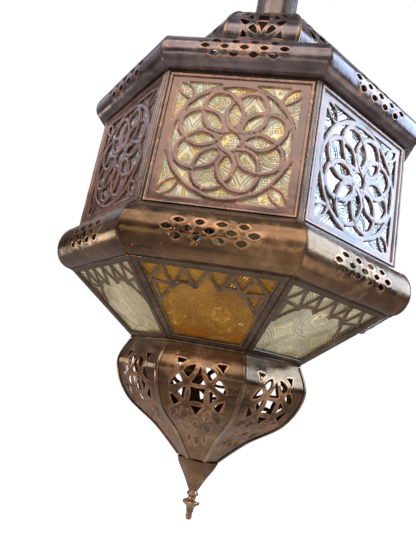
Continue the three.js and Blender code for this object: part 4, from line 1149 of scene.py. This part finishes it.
def add_roof():
    """Eight sloping sheets with folded seams."""
    profile = Profile([SHOULDER_RADIUS, CAGE_RADIUS], [ROOF_TOP, ROOF_BOTTOM])
    sheet = thick_sheet(profile.outline(4.0), [], (7.0, 7.0), profile.place, -0.05, -0.95, drop=0.1)
    seam = swept(profile.corner_path(-1.0, 8.0)[1:-1], ring_section(2.0, 1.1, 8))
    # The roof sheets carry the painted blue sheen
    add_piece("roof_sheets", around(sheet), BLUE_SHEEN_COPPER, "aged_copper", "roof", merge=True)
    add_piece("roof_seams", around(seam), SEAM, "bright_copper")


# Ferrule, finial, stem, rings and lamp
FERRULE = [(25.3, 0.1), (22.0, 7.0), (14.5, 18.0), (9.0, 27.0), (5.6, 33.9)]
FINIAL = [(0, 0), (4.5, 0), (4.9, 1.2), (6.3, 2.0), (6.6, 3.2), (6.2, 4.6), (4.6, 5.6), (4.3, 7.0),
          (4.4, 8.6), (6.6, 9.6), (9.2, 11.0), (9.6, 12.2), (9.3, 13.3), (7.2, 14.8), (5.2, 16.4), (4.3, 18.2),
          (4.0, 20.6), (3.6, 22.6), (3.0, 23.8), (3.3, 25.2), (3.5, 27.0), (3.1, 29.0), (1.8, 30.2), (0, 30.5)]
LAMP = [(12.8, 0), (13.2, 6), (15.0, 14), (19.5, 24), (25.0, 33), (28.3, 41), (28.9, 46), (28.0, 54),
        (24.5, 62), (18.0, 69), (9.0, 73.2), (0, 74)]
LAMP_WALL = 1.0
STEM_SLEEVE = [(28.9, DOME_TOP - 9.0), (28.9, -3.3), (27.4, -3.3), (27.4, DOME_TOP - 9.0)]
NECK_BEAD = [(29.2, 0.3), (35.2, 0.3), (36.4, 2.3), (36.6, 4.3), (35.6, 6.3), (33.0, 7.9), (29.2, 8.3)]
LOCK_RING = [(29.2, 0), (34.2, 0), (35.1, -1.2), (35.1, -6.8), (34.2, -8.0), (29.2, -8.0)]
LOCK_RING_TOP = -34.3


def add_tip():
    profile = Profile([radius for radius, _ in FERRULE], [FERRULE_TOP - depth for _, depth in FERRULE])
    sheet = thick_sheet(profile.outline(2.0), [], (2.5, 2.5), profile.place, -0.05, -0.9, drop=0.1, soft=0.8)
    seam = swept(profile.corner_path(-0.6, 3.0)[1:-1], ring_section(0.9, 0.6, 8))
    cone = joined([around(sheet), around(seam)])
    add_piece("ferrule_cone", cone, AGED, "aged_copper", "ferrule", merge=True)
    finial = lathe([(radius, FINIAL_TOP - depth) for radius, depth in FINIAL], 40)
    add_piece("finial_turned", finial, SEAM, "bright_copper", "finial", sharp=60, merge=True)


def add_stem():
    for name, node, section, level, material, slot in (
            # The sleeve takes the paler frame metal, a painted highlight
            ("stem_sleeve", "stem_tube", STEM_SLEEVE, 0.0, SHEEN_FRAME, "dark_frame"),
            ("neck_bead", "neck_ring", NECK_BEAD, DOME_TOP, SEAM, "bright_copper"),
            ("lock_ring", "canopy_lock_ring", LOCK_RING, LOCK_RING_TOP, SEAM, "bright_copper")):
        ring = lathe([(radius, level + rise) for radius, rise in section + section[:1]], 96)
        add_piece(name, ring, material, slot, node, merge=True)


def add_lamp():
    outer = [(radius, LAMP_TOP - depth) for radius, depth in LAMP]
    deepest = LAMP[-1][1] - LAMP_WALL
    inner = [(max(radius - LAMP_WALL, 0), LAMP_TOP - min(depth, deepest)) for radius, depth in LAMP]
    globe = lathe(outer + inner[::-1] + outer[:1], 48)
    add_piece("lamp_globe", globe, LAMP_GLASS, "lamp_glass", "lamp_bulb", sharp=60, merge=True)


# CAD nodes that keep their shape
KEPT = {
    "ceiling_plate": STEEL, "plate_screw_left": STEEL, "plate_screw_right": STEEL, "stem_cross_bolt": STEEL,
    "stem_flange": STEEL, "rod_nut": BRASS, "lamp_rod": STEEL, "lampholder": PLASTIC, "lamp_cap": BRASS,
    "cage_frame": FRAME, "door_frame": FRAME, "hinge_pin_0": BRASS, "hinge_pin_1": BRASS, "latch_arm": SEAM,
    "latch_rivet": BRASS, "canopy": AGED,
}


def dress_kept():
    for name, material in KEPT.items():
        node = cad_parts[name]
        node.data.materials.clear()
        node.data.materials.append(material)


# Floor, world and lights
def floor_material():
    material, tree = new_material("studio_floor")
    grain = noise(place_in(tree), 3.0, 3.0, 0.5)
    rays = [made_node(tree, "LightPath", name) for name in ("Is Camera Ray", "Is Transmission Ray")]
    shade(tree, {"Base Color": ramp(grain, (0.3, (0.70, 0.65, 0.59)), (0.7, (0.74, 0.69, 0.63))),
                 "Roughness": 0.9, "Emission Color": (1, 1, 1), "Emission Strength": largest(*rays) * 0.85})
    return material


def add_floor(size=40.0, level=-2.6):
    mesh = bpy.data.meshes.new("floor")
    corners = [(-size, -size, level), (size, -size, level), (size, size, level), (-size, size, level)]
    mesh.from_pydata(corners, [], [(0, 1, 2, 3)])
    mesh.materials.append(floor_material())
    floor = bpy.data.objects.new("floor", mesh)
    bpy.context.scene.collection.objects.link(floor)


def add_world():
    """A dim warm room in reflections, white where the camera or the glass looks past the lantern."""
    world = bpy.data.worlds.new("studio")
    bpy.context.scene.world = world
    world.use_nodes = True
    tree = world.node_tree
    direction = made_node(tree, "TexCoord", "Generated")
    room = ramp(axis_of(direction, "Z") * 0.5 + 0.5, (0.1, (0.16, 0.13, 0.10)), (0.40, (0.08, 0.065, 0.055)),
                (0.55, (0.07, 0.065, 0.06)), (0.68, (0.31, 0.28, 0.27)), (0.9, (0.38, 0.38, 0.44)))
    clutter = ramp(noise(direction, 2.6, 4.0, 0.6, 0.4), (0.40, (0.30, 0.27, 0.24)), (0.50, 1.0), (0.60, 2.4))
    rays = [made_node(tree, "LightPath", name) for name in ("Is Camera Ray", "Is Transmission Ray")]
    color = mixed(largest(*rays), mixed(1.0, room, clutter, "MULTIPLY"), (1.0, 1.0, 1.0))
    feed(tree, color, tree.nodes["Background"].inputs["Color"])
    tree.nodes["Background"].inputs["Strength"].default_value = 1.0


# Lights: place and target in metres, size, watts and colour
MIDDLE = (0, 0, -0.5)
LIGHTS = {
    "window_right": ((1.56, 0.1, 0.3), (0.12, -0.12, -0.45), (1.1, 1.3), 27, (0.52, 0.74, 1.0)),
    "sky_high_left": ((-1.8, 0.76, 0.8), (-0.15, -0.1, -0.37), (0.9, 0.9), 1.0, (0.50, 0.62, 1.0)),
    "sky_left": ((-1.9, 0.45, -0.62), (-0.15, -0.1, -0.5), (0.3, 0.35), 1.3, (1.0, 0.92, 0.76)),
    "ceiling_front": ((-0.1, -1.62, 0.92), MIDDLE, (2.0, 1.6), 21, (1.0, 0.89, 0.76)),
    "window_left": ((-1.5, -1.3, 0.9), MIDDLE, (0.5, 1.3), 8, (1.0, 0.90, 0.80)),
    "front_low": ((0.5, -2.2, -1.5), MIDDLE, (2.4, 1.0), 2, (1.0, 0.88, 0.74)),
    "low_right": ((1.9, -0.55, -1.3), MIDDLE, (1.3, 0.9), 3.6, (1.0, 0.90, 0.78)),
    "front_level": ((-0.4, -2.1, -0.62), (0.0, 0.0, -0.55), (2.0, 0.36), 3.2, (1.0, 0.86, 0.72)),
    "warm_low": ((-1.5, -0.6, -1.3), MIDDLE, (0.35, 0.35), 6, (1.0, 0.62, 0.35)),
    "behind": ((0.2, 2.2, 0.2), MIDDLE, (2.0, 1.4), 50, (1.0, 1.0, 1.0)),
}


def add_lights():
    for name, (place, target, size, power, color) in LIGHTS.items():
        data = bpy.data.lights.new(name, "AREA")
        data.shape = "RECTANGLE"
        data.size, data.size_y = size
        data.energy = power
        data.color = color
        lamp = bpy.data.objects.new(name, data)
        lamp.location = place
        lamp.rotation_euler = (Vector(target) - Vector(place)).to_track_quat("-Z", "Y").to_euler()
        bpy.context.scene.collection.objects.link(lamp)


add_camera()
add_panels()
add_cage_glass()
add_crown_glass()
add_crown()
add_trim()
for collar, sizes in COLLARS.items():
    add_collar(collar, **sizes)
add_onion("bulb", "bottom_bulb", 24.4, BULB_LENGTH, BULB_TOP, -1)
add_onion("dome", "dome", 29.2 / IN_RATIO + 1.6, DOME_LENGTH, DOME_BOTTOM, 1)
add_roof()
add_tip()
add_stem()
add_lamp()
dress_kept()
add_floor()
add_world()
add_lights()
bpy.context.scene.view_settings.view_transform = "Standard"
